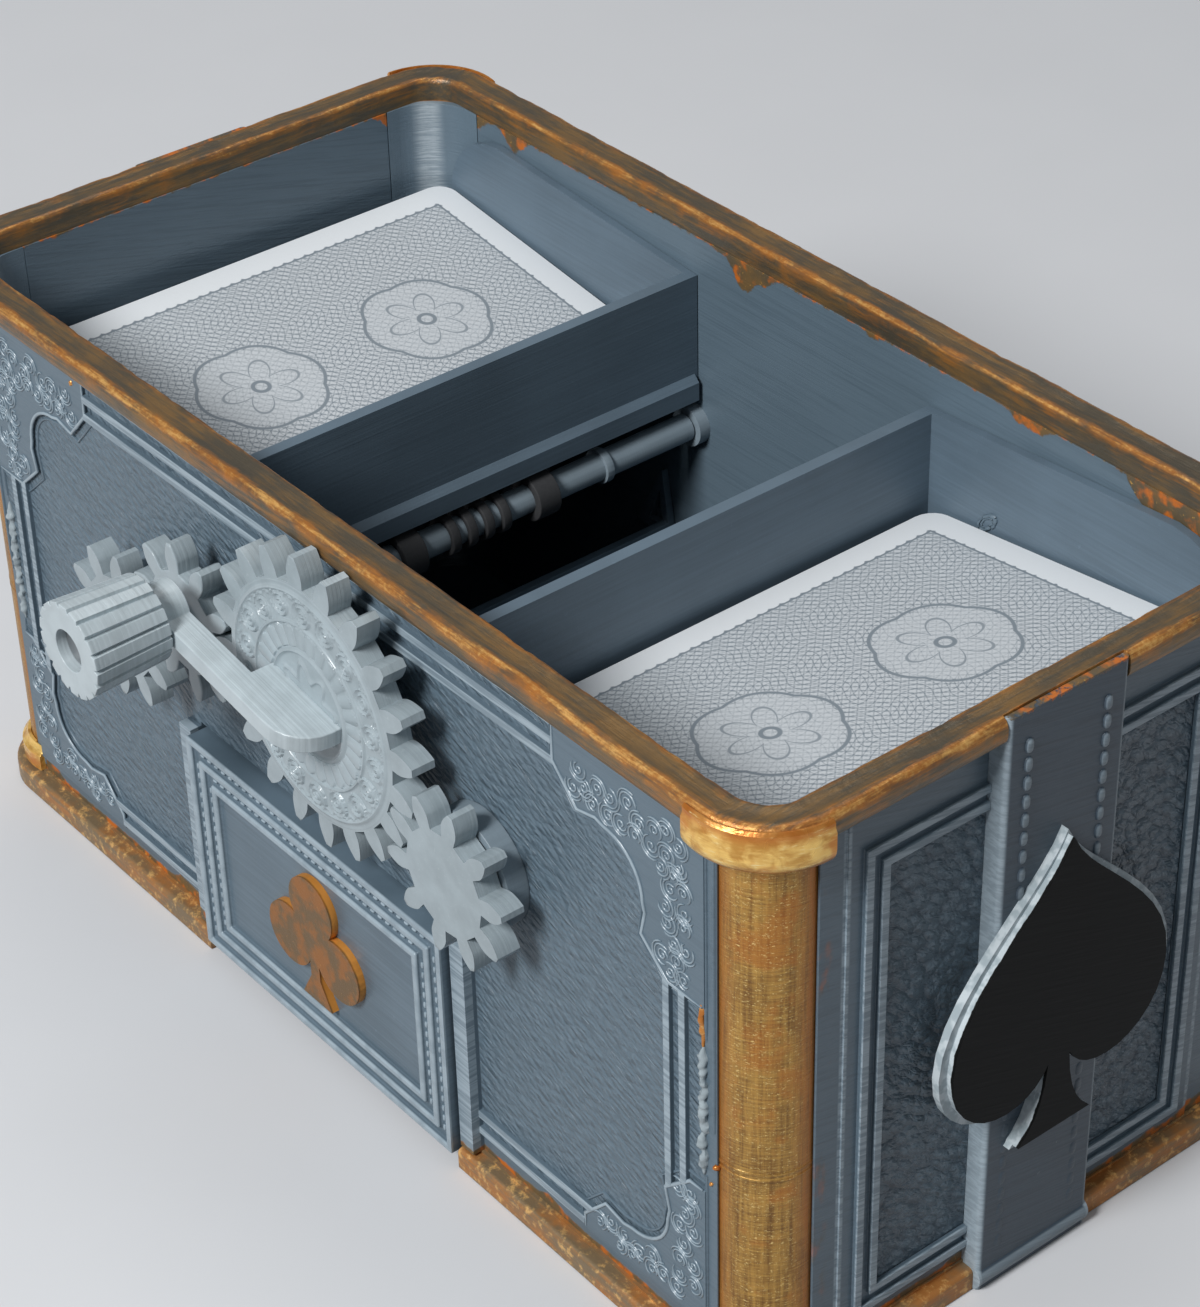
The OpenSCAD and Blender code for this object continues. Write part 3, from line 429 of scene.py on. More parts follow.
def strap_plastic():
    """Straps: darker plastic with slanted layer lines, a painted highlight on their edges and stitches,
    gold on top.
    """
    f = Finish("strap_plastic")
    slant = f.noise(1.0, turned(f, "X", 12, 0.5, 0.05, 1.9), detail=4, rough=0.65)
    scuffs = f.noise(0.7, detail=4, rough=0.7)
    tone = f.mix(STRAP_TONE, shade(50, 62, 73), slant.step(0.42, 0.66) * 0.7)
    tone = f.mix(tone, PALE, scuffs.step(0.66, 0.82) * 0.35)
    # Painted highlight on the rounded edges and the stitch tops
    border = (abs(f.y) - STRAP_W / 2 + 1.0).step(0, 0.7)
    stitches = (abs(f.x) - STRAP_FACE).step(0.12, 0.34)
    tone = f.mix(tone, PAINTED_HIGHLIGHT, border.most(stitches * 0.6) * (0.65 + 0.25 * slant.step(0.4, 0.6)))
    ragged = f.noise(0.7, detail=4, rough=0.65)
    gold = (f.z + ragged * 2.6).step(TOP + 0.5, TOP + 0.9)
    colour, rough, coat = overspill(f, tone, 0.36 + 0.14 * scuffs, gold)
    return f.done(colour, rough, slant * 0.07 + scuffs * 0.015 + coat * 0.1)


def gear_plastic(name="gear_grey", pale=PALE):
    """Gears and crank: paler, glossier plastic with layer lines and worn specks."""
    f = Finish(name)
    soft = f.noise(0.25, detail=3)
    scuffs = f.noise(1.4, detail=4, rough=0.7)
    stepped = layers(f, "y", 1.0)
    mottle = [c * 0.82 for c in pale]
    tone = f.mix(pale, mottle, (soft * 0.5 + stepped * 0.6).step(0.4, 0.72))
    tone = f.mix(tone, PALE_WORN, scuffs.step(0.56, 0.8) * 0.3)
    return f.done(tone, 0.2 + 0.1 * scuffs, stepped * 0.07 + soft * 0.1)


def column_paint():
    """Columns: gold paint woven by layer lines and upright brush streaks, with painted glints down the
    middle and painted shade on the sides; bare plastic inside, with a painted highlight in its hollow
    corner.
    """
    f = Finish("column_gold")
    streak = f.noise(1.0, f.stretched(1.5, 1.5, 0.07), detail=4, rough=0.65)
    weft = f.noise(1.0, f.stretched(0.16, 0.16, 3.4), detail=4, rough=0.7)
    patch = f.noise(0.1, detail=4, rough=0.6)
    painted_glint = f.noise(1.0, f.stretched(1.6, 1.6, 3.4), detail=3, rough=0.8)
    weave = weft * 0.42 + streak * 0.5 + patch * 0.3
    base = f.mix(shade(118, 80, 34), shade(196, 152, 76), weave.step(0.44, 0.76))
    outermost = COLUMN_R * 1.414
    out = (abs(f.x) - COLUMN_X + abs(f.y) - COLUMN_Y) / outermost
    flank = out.step(0.94, 0.6)
    # Painted shade on the column's sides, mixed with the copper patches of the paint
    copper_and_side_shade = (patch.step(0.5, 0.64) * 0.55).most(flank * (0.4 + 0.5 * streak.step(0.4, 0.6)))
    base = f.mix(base, shade(178, 102, 34), copper_and_side_shade)
    # Painted highlight: bright glints down the middle, kept off the sides
    colour = f.mix(base, shade(255, 226, 152), painted_glint.step(0.56, 0.7) * (1 - flank) * 0.8)
    hollow_x = abs(f.x) - INNER_X
    hollow_y = abs(f.y) - INNER_Y
    hollow = hollow_x * hollow_x + hollow_y * hollow_y
    inner = hollow.step((INNER_R + 1.3) ** 2, (INNER_R + 1.0) ** 2)
    # Painted highlight down the hollow inner corner
    painted_sheen = abs(hollow_x - hollow_y - 2.0).step(4.6, 1.0) * (0.45 + 0.55 * weft.step(0.4, 0.6))
    colour = f.mix(colour, f.mix(BODY, shade(206, 216, 222), painted_sheen * 0.6), inner)
    height = weft * 0.1 + streak * 0.05 + patch * 0.12
    return f.done(colour, 0.28 + 0.2 * patch, height, 0.45 * (1 - inner))


def collar_paint():
    """Collars and feet: smooth thick gold with soft smears, painted highlight flecks, and painted shade
    at the collars' upper and lower edges that leaves a painted highlight round their middle.
    """
    f = Finish("collar_gold")
    smear = f.noise(0.3, f.stretched(1, 1, 1.4), detail=3, rough=0.5, warp=0.4)
    patch = f.noise(0.16, detail=3)
    fine = f.noise(1.0, f.stretched(0.4, 0.4, 3.0), detail=3, rough=0.7)
    base = f.mix(shade(198, 144, 66), shade(250, 206, 118), (smear * 0.8 + fine * 0.2).step(0.38, 0.6))
    base = f.mix(base, shade(206, 118, 42), patch.step(0.54, 0.66) * 0.65)
    # Painted shade: darker orange at the upper and lower edges of the collars
    low = (f.z - (TOP - 7.4)).step(1.6, 0.0) * (f.z - 20).step(0, 1)
    high = (f.z - (TOP - 1.2)).step(-1.4, 0.2)
    colour = f.mix(base, shade(186, 102, 36), low.most(high) * 0.7)
    # Painted highlight flecks
    colour = f.mix(colour, shade(255, 236, 176), fine.step(0.56, 0.72) * smear.step(0.42, 0.58) * 0.75)
    return f.done(colour, 0.2 + 0.16 * patch, smear * 0.24 + fine * 0.03, 0.5)


def rim_paint():
    """Rim: olive brown on its flats, orange paint along its edges, and a painted highlight of pale gold
    on them.
    """
    f = Finish("rim_gold")
    edge = f.attribute("edge")
    patch = f.noise(0.07, detail=4, rough=0.55)
    smear = f.noise(0.2, detail=4, rough=0.6, warp=0.4)
    on_end = (abs(f.x) - RIM_X + RIM_R).step(0, 3)
    lengthwise = f.noise(1.0, f.stretched(0.1, 1.2, 1.2), detail=4, rough=0.7)
    crosswise = f.noise(1.0, f.stretched(1.2, 0.1, 1.2), detail=4, rough=0.7)
    streak = lengthwise * (1 - on_end) + crosswise * on_end
    fleck = f.noise(1.3, detail=4, rough=0.7, warp=0.4)
    flat = f.mix(shade(94, 86, 72), shade(136, 106, 66), (patch * 0.5 + streak * 0.5).step(0.42, 0.62))
    warm = (edge * 0.3 + smear * 0.5 + streak * 0.55).step(0.6, 0.92)
    colour = f.mix(flat, shade(188, 118, 48), warm * 0.9)
    # Painted highlight: pale gold along the rolled edges and in streaks
    bright = (edge * 0.3 + fleck * 0.3 + streak * 0.55).step(0.66, 0.86)
    colour = f.mix(colour, shade(244, 196, 118), bright * 0.8)
    return f.done(colour, 0.24 + 0.26 * patch, smear * 0.26 + fleck * 0.03 + streak * 0.16, 0.45)


def moulding_paint():
    """Foot moulding: the rim's paint, more orange, rubbed thin in places."""
    f = Finish("moulding_gold")
    patch = f.noise(0.1, detail=4, rough=0.6)
    smear = f.noise(0.6, detail=4, rough=0.65)
    along = f.noise(1.0, f.stretched(0.08, 0.08, 1.8), detail=4, rough=0.7)
    colour = f.mix(shade(132, 112, 84), shade(178, 118, 60), (patch * 0.6 + along * 0.5).step(0.46, 0.66))
    colour = f.mix(colour, shade(238, 190, 118), smear.step(0.5, 0.7) * 0.8)
    return f.done(colour, 0.36 + 0.2 * patch, smear * 0.16 + along * 0.06, 0.28)


def spade_paint(side):
    """Spade: black brushed face with an uneven edge, pale bare step and sides."""
    f = Finish("spade_black_" + ("right" if side > 0 else "left"))
    depth = f.x * side - SPADE_FACE
    wave = f.noise(0.28, detail=3) * 0.5 + f.noise(1.6, detail=2) * 0.2
    face = (depth + wave).step(-0.18, -0.06)
    stroke = f.noise(1.0, turned(f, "X", 20, 1, 0.1, 1.6), detail=3)
    black = f.mix(shade(7, 8, 8), shade(15, 16, 16), stroke.step(0.5, 0.72) * 0.6)
    bare = f.mix(PALE, PALE_WORN, f.noise(0.6).step(0.4, 0.62))
    colour = f.mix(bare, black, face)
    height = layers(f, "x", 0.05) + stroke * 0.06
    return f.done(colour, 0.34 + 0.3 * face, height, Specular_IOR_Level=0.15)


def club_paint():
    """Club: copper face, with a painted highlight of bright gold along its edges."""
    f = Finish("club_copper")
    depth = -f.y - CLUB_FACE
    # Painted highlight: bright gold along the club's edges
    edge = (depth + f.noise(0.6) * 0.3).step(0.05, -0.3)
    patch = f.noise(0.22, detail=4, rough=0.6)
    face = f.mix(shade(116, 90, 56), shade(156, 100, 44), patch.step(0.42, 0.6))
    fleck = f.noise(1.6, detail=4, rough=0.75)
    face = f.mix(face, shade(206, 150, 78), fleck.step(0.6, 0.75) * 0.6)
    colour = f.mix(face, shade(224, 150, 66), edge)
    return f.done(colour, 0.34 + 0.16 * patch, fleck * 0.06 + patch * 0.1, 0.35)


def woven_lines(f):
    """Ink of a card's field: a lattice with dots, crossed by wavy stems and vines."""
    lattice = abs(((f.x + f.y) * 1.9).sin() * ((f.x - f.y) * 1.9).sin())
    dots = ((f.x * 3.8).sin() * (f.y * 3.8).sin()).step(0.25, 0.7)
    stems = abs(((f.y * 0.55).sin() * 2.2 + f.x * 2.3).sin())
    vines = abs(((f.x * 0.65).sin() * 2.2 + f.y * 2.3).sin())
    ink = (1 - lattice.step(0.05, 0.4)) * 0.45 + dots * 0.35
    return ink + (1 - vines.step(0.08, 0.4)) * 0.4 + (1 - stems.step(0.08, 0.4)) * 0.4


def with_rosettes(f, ink):
    """Two rosettes over a card's field: a flower in a scalloped ring, on calmer ground."""
    rosette_v = CARD_L * 0.19
    v = abs(f.y) - rosette_v
    radius = (f.x * f.x + v * v).root()
    angle = v.math("ARCTAN2", v, f.x)
    petals = abs((angle * 3).sin())
    flower = 1 - abs(radius - petals * 4.2 - 3.0).step(0.15, 0.5)
    core = radius.step(2.0, 1.6) * (1 - radius.step(1.1, 0.8))
    halo = 1 - abs(radius - 10.4 - petals * 0.9).step(0.2, 0.5)
    calm = radius.step(11.5, 9.5)
    ink = 0.34 + ink * (0.75 - calm * 0.4)
    return ink.most(halo).most(flower * 0.9).most(core)


def card_paper():
    """Card backs: a white border, a woven field and two rosettes; plain white edges."""
    f = Finish("card_back")
    border = 4.6
    inside = (CARD_W / 2 - border - abs(f.x)).least(CARD_L / 2 - border - abs(f.y))
    scallop = abs((f.x * 1.45).sin()).least(abs((f.y * 1.45).sin()))
    field = (inside - scallop * 0.55).step(-0.05, 0.12)
    rope = 1 - abs(inside - 0.5 - scallop * 0.3).step(0.2, 0.42)
    ink = with_rosettes(f, woven_lines(f))
    ink = (ink.most(rope) * field).least(1)
    top = f.split(f.node("ShaderNodeTexCoord", output="Normal"))[2].step(0.9, 0.99)
    fibre = f.noise(3.0, detail=2)
    colour = f.mix(PAPER, INK, ink * top * 0.85)
    pages = f.noise(1.0, f.stretched(0.05, 0.05, 5.5), detail=2)
    colour = f.mix(colour, shade(150, 155, 158), (1 - top) * pages.step(0.45, 0.6) * 0.7)
    return f.done(colour, 0.42 + 0.08 * fibre, fibre * 0.01)


def steel():
    """Drawn steel of shafts, rings and pins."""
    f = Finish("drawn_steel")
    turn = f.noise(1.0, f.stretched(0.2, 4.0, 0.2), detail=2)
    tone = f.mix(shade(176, 178, 180), shade(150, 152, 155), turn)
    return f.done(tone, 0.28 + 0.12 * turn, turn * 0.01, 0.9)


def rubber():
    """Dull dark rubber of the tyres."""
    f = Finish("tyre_rubber")
    grit = f.noise(2.0, detail=3)
    return f.done(f.mix(shade(44, 45, 47), shade(58, 59, 61), grit), 0.72 + 0.1 * grit, grit * 0.04)


# Ways to build and dress a piece

def soften(node, width, segments):
    """Breaks the sharp edges of a solid, as print and paint do."""
    weld = node.modifiers.new("weld", "WELD")
    weld.merge_threshold = 0.00001
    bevel = node.modifiers.new("soft_edges", "BEVEL")
    bevel.width = width * MM
    bevel.segments = segments
    bevel.limit_method = "ANGLE"
    bevel.angle_limit = math.radians(38)
    bevel.harden_normals = False
    normals = node.modifiers.new("even_shading", "WEIGHTED_NORMAL")
    normals.keep_sharp = False


def dress(names, material, width=0.25, segments=2):
    """Gives solids a material and, where width isn't 0, soft edges of that width."""
    for name in names.split():
        node = nodes[name]
        node.data.materials.clear()
        node.data.materials.append(material)
        if width:
            soften(node, width, segments)


def piece(name, bm, material, body, sharp=40):
    """Turns a built mesh into a named piece that rides on a body."""
    bmesh.ops.recalc_face_normals(bm, faces=bm.faces)
    bm.normal_update()
    for face in bm.faces:
        face.smooth = True
    for edge in bm.edges:
        if len(edge.link_faces) == 2 and edge.calc_face_angle() > math.radians(sharp):
            edge.smooth = False
    mesh = bpy.data.meshes.new(name)
    bm.to_mesh(mesh)
    bm.free()
    mesh.materials.append(material)
    made = bpy.data.objects.new(name, mesh)
    bpy.context.scene.collection.objects.link(made)
    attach(made, body)
    return made


def join(bm, rings, closed=True):
    """Faces between each ring of points and the next; a closed ring also joins its own ends."""
    for a, b in zip(rings, rings[1:]):
        for k in range(len(a) if closed else len(a) - 1):
            j = (k + 1) % len(a)
            bm.faces.new((a[k], b[k], b[j], a[j]))


def lumpy(point, size, seed):
    """Smooth random value of about -1 to 1 at a place; size is how far its lumps lie apart."""
    return noise.noise(Vector(point) / size + Vector((seed, seed * 2.0, seed * 3.0)))


def lumpy_strand(bm, points, size, seed):
    """Adds an uneven strand of glue or paint through points; size turns its share into a radius."""
    sides = 9
    rings = []
    for i, point in enumerate(points):
        share = i / (len(points) - 1)
        ahead = (points[min(i + 1, len(points) - 1)] - points[max(i - 1, 0)]).normalized()
        side = ahead.orthogonal().normalized()
        other = ahead.cross(side)
        ring = []
        for k in range(sides):
            a = 2 * math.pi * k / sides
            out = side * math.cos(a) + other * math.sin(a)
            rough = 1 + 0.9 * lumpy(point + out * 0.6, 0.9, seed) + 0.5 * lumpy(point, 2.3, seed + 4)
            ring.append(bm.verts.new((point + out * size(share) * max(rough, 0.3)) * MM))
        rings.append(ring)
    join(bm, rings)
    bm.faces.new(rings[0][::-1])
    bm.faces.new(rings[-1])


def tube_on_face(bm, path, radius, place, sides, flat):
    """Adds a raised line along a path on a face; place turns (along, up, proud) into a point."""
    rings = []
    for i, (u, v) in enumerate(path):
        before = path[max(i - 1, 0)]
        after = path[min(i + 1, len(path) - 1)]
        du, dv = after[0] - before[0], after[1] - before[1]
        size = math.hypot(du, dv) or 1
        nu, nv = -dv / size, du / size
        ring = []
        r = radius * (0.55 if i in (0, len(path) - 1) else 1)
        for k in range(sides + 1):
            a = math.pi * k / sides
            across, proud = math.cos(a) * r, math.sin(a) * r * flat * 2
            ring.append(bm.verts.new(place(u + nu * across, v + nv * across, proud)))
        rings.append(ring)
    join(bm, rings, closed=False)
    for ring in (rings[0], rings[-1]):
        bm.faces.new(ring)


def stitch(bm, place, u, v, along_u, length, width, proud):
    """One raised stitch, rounded at its ends."""
    rings = []
    profile = ((-0.5, 0.35), (-0.38, 0.85), (-0.15, 1.0), (0.15, 1.0), (0.38, 0.85), (0.5, 0.35))
    for share, size in profile:
        ring = []
        for k in range(5):
            a = math.pi * k / 4
            across, up = math.cos(a) * width / 2 * size, math.sin(a) * proud * size
            shift = share * length
            spot = (u + shift, v + across) if along_u else (u + across, v + shift)
            ring.append(bm.verts.new(place(*spot, up)))
        rings.append(ring)
    join(bm, rings, closed=False)
    for ring in (rings[0], rings[-1]):
        bm.faces.new(ring)


# Rim and cards

def box_path(x, y, r, step):
    """Points and outward directions round a box with round corners, in millimetres."""
    corners = [(1, -1, -90), (1, 1, 0), (-1, 1, 90), (-1, -1, 180)]
    path = []
    for (sx, sy, start), after in zip(corners, corners[1:] + corners[:1]):
        centre = Vector((sx * (x - r), sy * (y - r)))
        turns = max(6, int(r * math.pi / 2 / step))
        for i in range(turns + 1):
            a = math.radians(start + 90 * i / turns)
            out = Vector((math.cos(a), math.sin(a)))
            path.append((centre + out * r, out))
        end = path[-1]
        begin = Vector((after[0] * (x - r), after[1] * (y - r))) + end[1] * r
        count = int((begin - end[0]).length / step)
        for i in range(1, count):
            path.append((end[0].lerp(begin, i / count), end[1]))
    return path


def with_strap_stops(path):
    """Adds places at both sides of each strap, so that the rim's notch there has square ends."""
    stops = [s * (STRAP_W / 2 + d) for s in (-1, 1) for d in (-0.05, 0.05)]
    full = []
    for (place, out), (after, _) in zip(path, path[1:] + path[:1]):
        full.append((place, out))
        if min(abs(place.x), abs(after.x)) > RIM_X - 0.1:
            between = [y for y in stops if min(place.y, after.y) < y < max(place.y, after.y)]
            for y in sorted(between, reverse=after.y < place.y):
                full.append((Vector((place.x, y)), out))
    return full


def rim_section(high):
    """Outline of the rim: for each point its way inward and up, and how rubbed its paint is and how much
    painted highlight it takes, 0 to 1.
    """
    return [(0.6, 0.0, 0.3), (0.2, 0.45, 0.5), (0.0, 1.3, 0.35), (0.0, high - 1.6, 0.45),
            (0.1, high - 0.9, 0.9), (0.4, high - 0.3, 1.0), (0.9, high - 0.04, 0.9),
            (1.45, high, 0.45), (2.1, high - 0.16, 0.1), (3.1, high - 0.24, 0.0),
            (4.1, high - 0.16, 0.1), (4.75, high - 0.04, 0.5), (5.25, high - 0.1, 0.9),
            (5.6, high - 0.4, 0.9), (RIM_W, high - 0.9, 0.6), (RIM_W, 1.6, 0.3), (RIM_W, 0.0, 0.2)]


def rim():
    """Painted rim: a flat band with rolled edges, a little uneven along its length."""
    high = TOP - RIM_LOW
    section = rim_section(high)
    bm = bmesh.new()
    edge_layer = bm.verts.layers.float.new("edge")
    rings = []
    for place, out in with_strap_stops(box_path(RIM_X, RIM_Y, RIM_R, 0.8)):
        notched = abs(place.y) < STRAP_W / 2 and abs(place.x) > RIM_X - 0.1
        ring = []
        for inward, up, edge in section:
            if notched:
                inward = max(inward, NOTCH + 0.1 * (up / high))
            spot = place - out * inward
            x, y, z = spot.x, spot.y, RIM_LOW + up
            wobble = lumpy((x, y, z), 7.0, 3.1) * 0.3 + lumpy((x, y, z), 1.6, 8.4) * 0.14
            drop = abs(lumpy((x, y, 0), 11.0, 5.2)) * 0.22
            share = 0.0 if notched and inward < 2 else edge * (0 < up)
            back = max(0.0, wobble) * share * (1 if inward < 3 else -1)
            z -= (drop + abs(wobble) * 0.5) * (up > high / 2)
            vert = bm.verts.new(Vector((x - out.x * back, y - out.y * back, z)) * MM)
            vert[edge_layer] = edge
            ring.append(vert)
        rings.append(ring)
    join(bm, rings + rings[:1])
    made = piece("rim_painted", bm, rim_paint(), "shell", 60)
    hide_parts("top_rim")


def rounded_card(shift_x, shift_y, turn):
    """Outline of one card, moved and turned a little."""
    corner_steps = 5
    path = []
    for sx, sy, start in ((1, 1, 0), (-1, 1, 90), (-1, -1, 180), (1, -1, 270)):
        for i in range(corner_steps + 1):
            a = math.radians(start + 90 * i / corner_steps)
            x = sx * (CARD_W / 2 - CARD_R) + CARD_R * math.cos(a)
            y = sy * (CARD_L / 2 - CARD_R) + CARD_R * math.sin(a)
            path.append((x, y))
    c, s = math.cos(turn), math.sin(turn)
    return [(x * c - y * s + shift_x, x * s + y * c + shift_y) for x, y in path]


def card_stack(side, paper):
    """Half a pack: thin cards, each a little out of line with the next."""
    rng = random.Random(4 + side)
    bm = bmesh.new()
    pitch = STACK_H / STACK_CARDS
    for i in range(STACK_CARDS):
        top = i == STACK_CARDS - 1
        loose = 0.0 if top else 0.32
        outline = rounded_card(rng.uniform(-loose, loose), rng.uniform(-loose, loose),
                               math.radians(rng.uniform(-0.2, 0.2) * (0 if top else 1)))
        low, up = i * pitch, i * pitch + pitch * 0.93
        base = [bm.verts.new((x * MM, y * MM, low * MM)) for x, y in outline]
        lid = [bm.verts.new((x * MM, y * MM, up * MM)) for x, y in outline]
        bm.faces.new(lid)
        bm.faces.new(base[::-1])
        for k in range(len(base)):
            j = (k + 1) % len(base)
            bm.faces.new((base[k], base[j], lid[j], lid[k]))
    name = "right" if side > 0 else "left"
    made = piece("cards_" + name, bm, paper, "pack_" + name, 30)
    low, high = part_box("card_pack_" + name)
    slope = Matrix.Rotation(-side * TILT, 4, "Y")
    middle = slope @ Vector((0, 0, STACK_H / 2 * MM))
    made.matrix_world = Matrix.Translation((low + high) / 2 - middle) @ slope
    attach(made, "pack_" + name)
    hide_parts("card_pack_" + name)


# Ornament

def spiral(centre, radius, start, turns, hand, steps, end):
    """Points of a scroll that winds inwards."""
    path = []
    for i in range(steps + 1):
        t = i / steps
        r = radius * (1 - (1 - end) * t)
        a = math.radians(start) + hand * turns * 2 * math.pi * t
        path.append((centre[0] + r * math.cos(a), centre[1] + r * math.sin(a)))
    return path


def scroll_centres(band, gap, seed):
    """Evenly scattered places inside a band (u0, v0, u1, v1), no two nearer than gap."""
    rng = random.Random(seed)
    u0, v0, u1, v1 = band
    found = []
    for _ in range(900):
        spot = (rng.uniform(u0, u1), rng.uniform(v0, v1))
        if all(math.dist(spot, other) > gap for other in found):
            found.append(spot)
    return found


def scroll_band(band, seed):
    """Close-set scrolls, each wound of double lines, with bent strokes between them."""
    gap = 2.5
    rng = random.Random(seed)
    paths = []
    for centre in scroll_centres(band, gap, seed):
        radius = gap * rng.uniform(0.38, 0.46)
        start = rng.uniform(0, 360)
        hand = rng.choice((-1, 1))
        paths.append(spiral(centre, radius, start, 1.3, hand, 18, 0.16))
        paths.append(spiral(centre, radius + 0.5, start + 50 * hand, 0.66, hand, 12, 0.98))
        paths.append(spiral(centre, radius + 0.98, start + 95 * hand, 0.36, hand, 8, 0.98))
    return paths


def corner_scrolls(top):
    """All scrollwork of one corner plate, measured from its outer corner inwards."""
    bands = TOP_BANDS if top else FOOT_BANDS
    return [path for i, band in enumerate(bands) for path in scroll_band(band, 11 + 12 * i + 5 * top)]


def plate_edge(top, out=0.0):
    """The stepped inner edge of a corner plate, or a line that follows it further in."""
    reach, arm = TOP_PLATE if top else FOOT_PLATE
    cut, step, turn = 5.0, 0.45, 8
    half = [(reach + out, 0.4), (reach + out, arm - cut + out), (reach - cut + out, arm + step + out),
            (reach - 9.0, arm - step + out)]
    half += [(arm + turn - (turn - out) * math.sin(math.radians(a)),
              arm + turn - (turn - out) * math.cos(math.radians(a))) for a in range(0, 46, 9)]
    return half + [(v, u) for u, v in reversed(half[:-1])]


def wall_places(front):
    """For each corner plate of a long wall: whether it is an upper one, and a function to a point."""
    face = -1 if front else 1
    for sx in (-1, 1):
        for top in (False, True):
            def place(u, v, proud, sx=sx, top=top, depth=WALL_Y + PLATE_PROUD):
                x = sx * (PANEL_X - u)
                z = PANEL_HIGH - v if top else PANEL_LOW + v
                return Vector((x, face * (depth - LINE_SINK + proud), z)) * MM
            yield top, place


def scrollwork(front, material):
    """Scrolls and raised edges of the four corner plates of a long wall, and fine border lines."""
    bm = bmesh.new()
    for top, place in wall_places(front):
        for path in corner_scrolls(top):
            tube_on_face(bm, path, 0.17, place, 4, 0.8)
        tube_on_face(bm, plate_edge(top), 0.34, place, 6, 0.5)

        def beside_plate(u, v, proud, place=place):
            return place(u, v, proud - PLATE_PROUD)

        tube_on_face(bm, plate_edge(top, 1.15), 0.24, beside_plate, 6, 0.7)
    face = -1 if front else 1

    def on_wall(x, z, proud):
        return Vector((x, face * (WALL_Y - LINE_SINK + proud), z)) * MM

    # Upright border lines: place along the wall, lower end, upper end
    lines = ((PANEL_X - 0.1, 61.5, 95.5), (PANEL_X - 0.1, 5.5, 37.0), (PANEL_X + 1.5, 46.0, 96.0))
    for s in (-1, 1):
        for x, low, high in lines:
            path = [(s * x, low + (high - low) * i / 12) for i in range(13)]
            tube_on_face(bm, path, 0.32, on_wall, 6, 0.6)
    name = "scrollwork_" + ("front" if front else "back")
    piece(name, bm, material, "shell", 50)


def strap_stitching(side, material):
    """Two rows of raised stitches along a strap, worn flatter towards its foot."""
    def place(y, z, proud):
        return Vector((side * (STRAP_FACE - STITCH_SINK + proud), y, z)) * MM

    bm = bmesh.new()
    row = STRAP_W / 2 - 3.9
    first, pitch, count = 8.0, 3.1, 30
    for s in (-1, 1):
        for i in range(count):
            z = first + i * pitch
            proud = 0.14 + 0.4 * min(1.0, (z / 92) ** 2)
            stitch(bm, place, s * row, z, False, 2.4, 1.5, proud)
    piece("stitching_" + ("right" if side > 0 else "left"), bm, material, "shell")


def drawer_stitching(material):
    """Rows of small raised stitches between the drawer front's frames."""
    low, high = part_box("drawer_front")
    half = (high.x - low.x) / 2 / MM
    z0, z1 = low.z / MM, high.z / MM
    face = -low.y / MM - 0.8

    def place(x, z, proud):
        return Vector((x, -(face - STITCH_SINK + proud), z)) * MM

    bm = bmesh.new()
    first, ends, pitch, length = 1.6, 2.4, 1.9, 1.15
    for inset in (2.2, 5.35):
        left, right, base, head = -half + inset, half - inset, z0 + inset, z1 - inset
        for x in (left, right):
            count = int((head - base - 2) / pitch)
            for i in range(count):
                z = base + first + i * (head - base - ends) / count
                stitch(bm, place, x, z, False, length, 0.8, 0.5)
        count = int((right - left - 2) / pitch)
        for i in range(count):
            x = left + first + i * (right - left - ends) / count
            stitch(bm, place, x, head, True, length, 0.7, 0.45)
    piece("drawer_stitching", bm, material, "drawer")


def ridge(distance, width):
    """Height, 0 to 1, of a rounded ridge at a distance from its middle."""
    return math.exp(-(distance / width) ** 2)


def rosette_relief(r, a):
    """How far the crank gear's embossed face stands out at a radius and an angle."""
    inner_ring, middle_ring, outer_ring = 8.7, 13.3, 18.4
    fan_low, fan_high = 9.3, 12.9
    petals = 28
    curls, curl_r = 18, 15.9
    rings = max(ridge(r - inner_ring, 0.3), ridge(r - middle_ring, 0.24),
                ridge(r - outer_ring, 0.3) * 0.8)
    wave = abs(math.sin(a * petals / 2))
    fan = wave ** 0.7 * (fan_low < r < fan_high - 0.9 * (1 - wave))
    inner = ridge(math.sin(a * 8) * 1.1 - (r - 5.6) * 0.9, 0.4) * (3.6 < r < 8.0)
    turn = a * curls / (2 * math.pi)
    across = (turn % 1.0 - 0.5) * 2 * math.pi * curl_r / curls
    up = r - curl_r - 0.3 * (1 if int(turn) % 2 else -1)
    curl = math.hypot(across, up)
    around = math.atan2(up, across)
    swirl = ridge((curl - 0.32 * around / math.pi) % 0.85 - 0.42, 0.22) * (curl < 2.2)
    lace = ridge((r - 17.7) - 0.3 * math.sin(a * curls * 3), 0.2)
    return 0.02 + 0.42 * max(rings, fan * 0.7, inner * 0.8, swirl * 0.9, lace * 0.6)


def gear_rosette(material):
    """Embossed face of the crank gear: rings, petals, a band of curls and a wavy line round it."""
    spin = next(j for j in frame["joints"] if j["name"] == "crank_spin")
    centre = Vector(spin["pos_m"])
    radius = 19.8
    bm = bmesh.new()
    turns, steps = 480, 96
    rings = []
    for i in range(1, steps + 1):
        r = radius * i / steps
        ring = []
        for k in range(turns):
            a = 2 * math.pi * k / turns
            out = rosette_relief(r, a) if i < steps else -0.1
            x = centre.x / MM + r * math.cos(a)
            z = centre.z / MM + r * math.sin(a)
            ring.append(bm.verts.new(Vector((x, GEAR_FRONT - out, z)) * MM))
        rings.append(ring)
    join(bm, rings)
    bm.faces.new(rings[0])
    piece("crank_gear_rosette", bm, material, "crank", 35)


# Traces of handwork

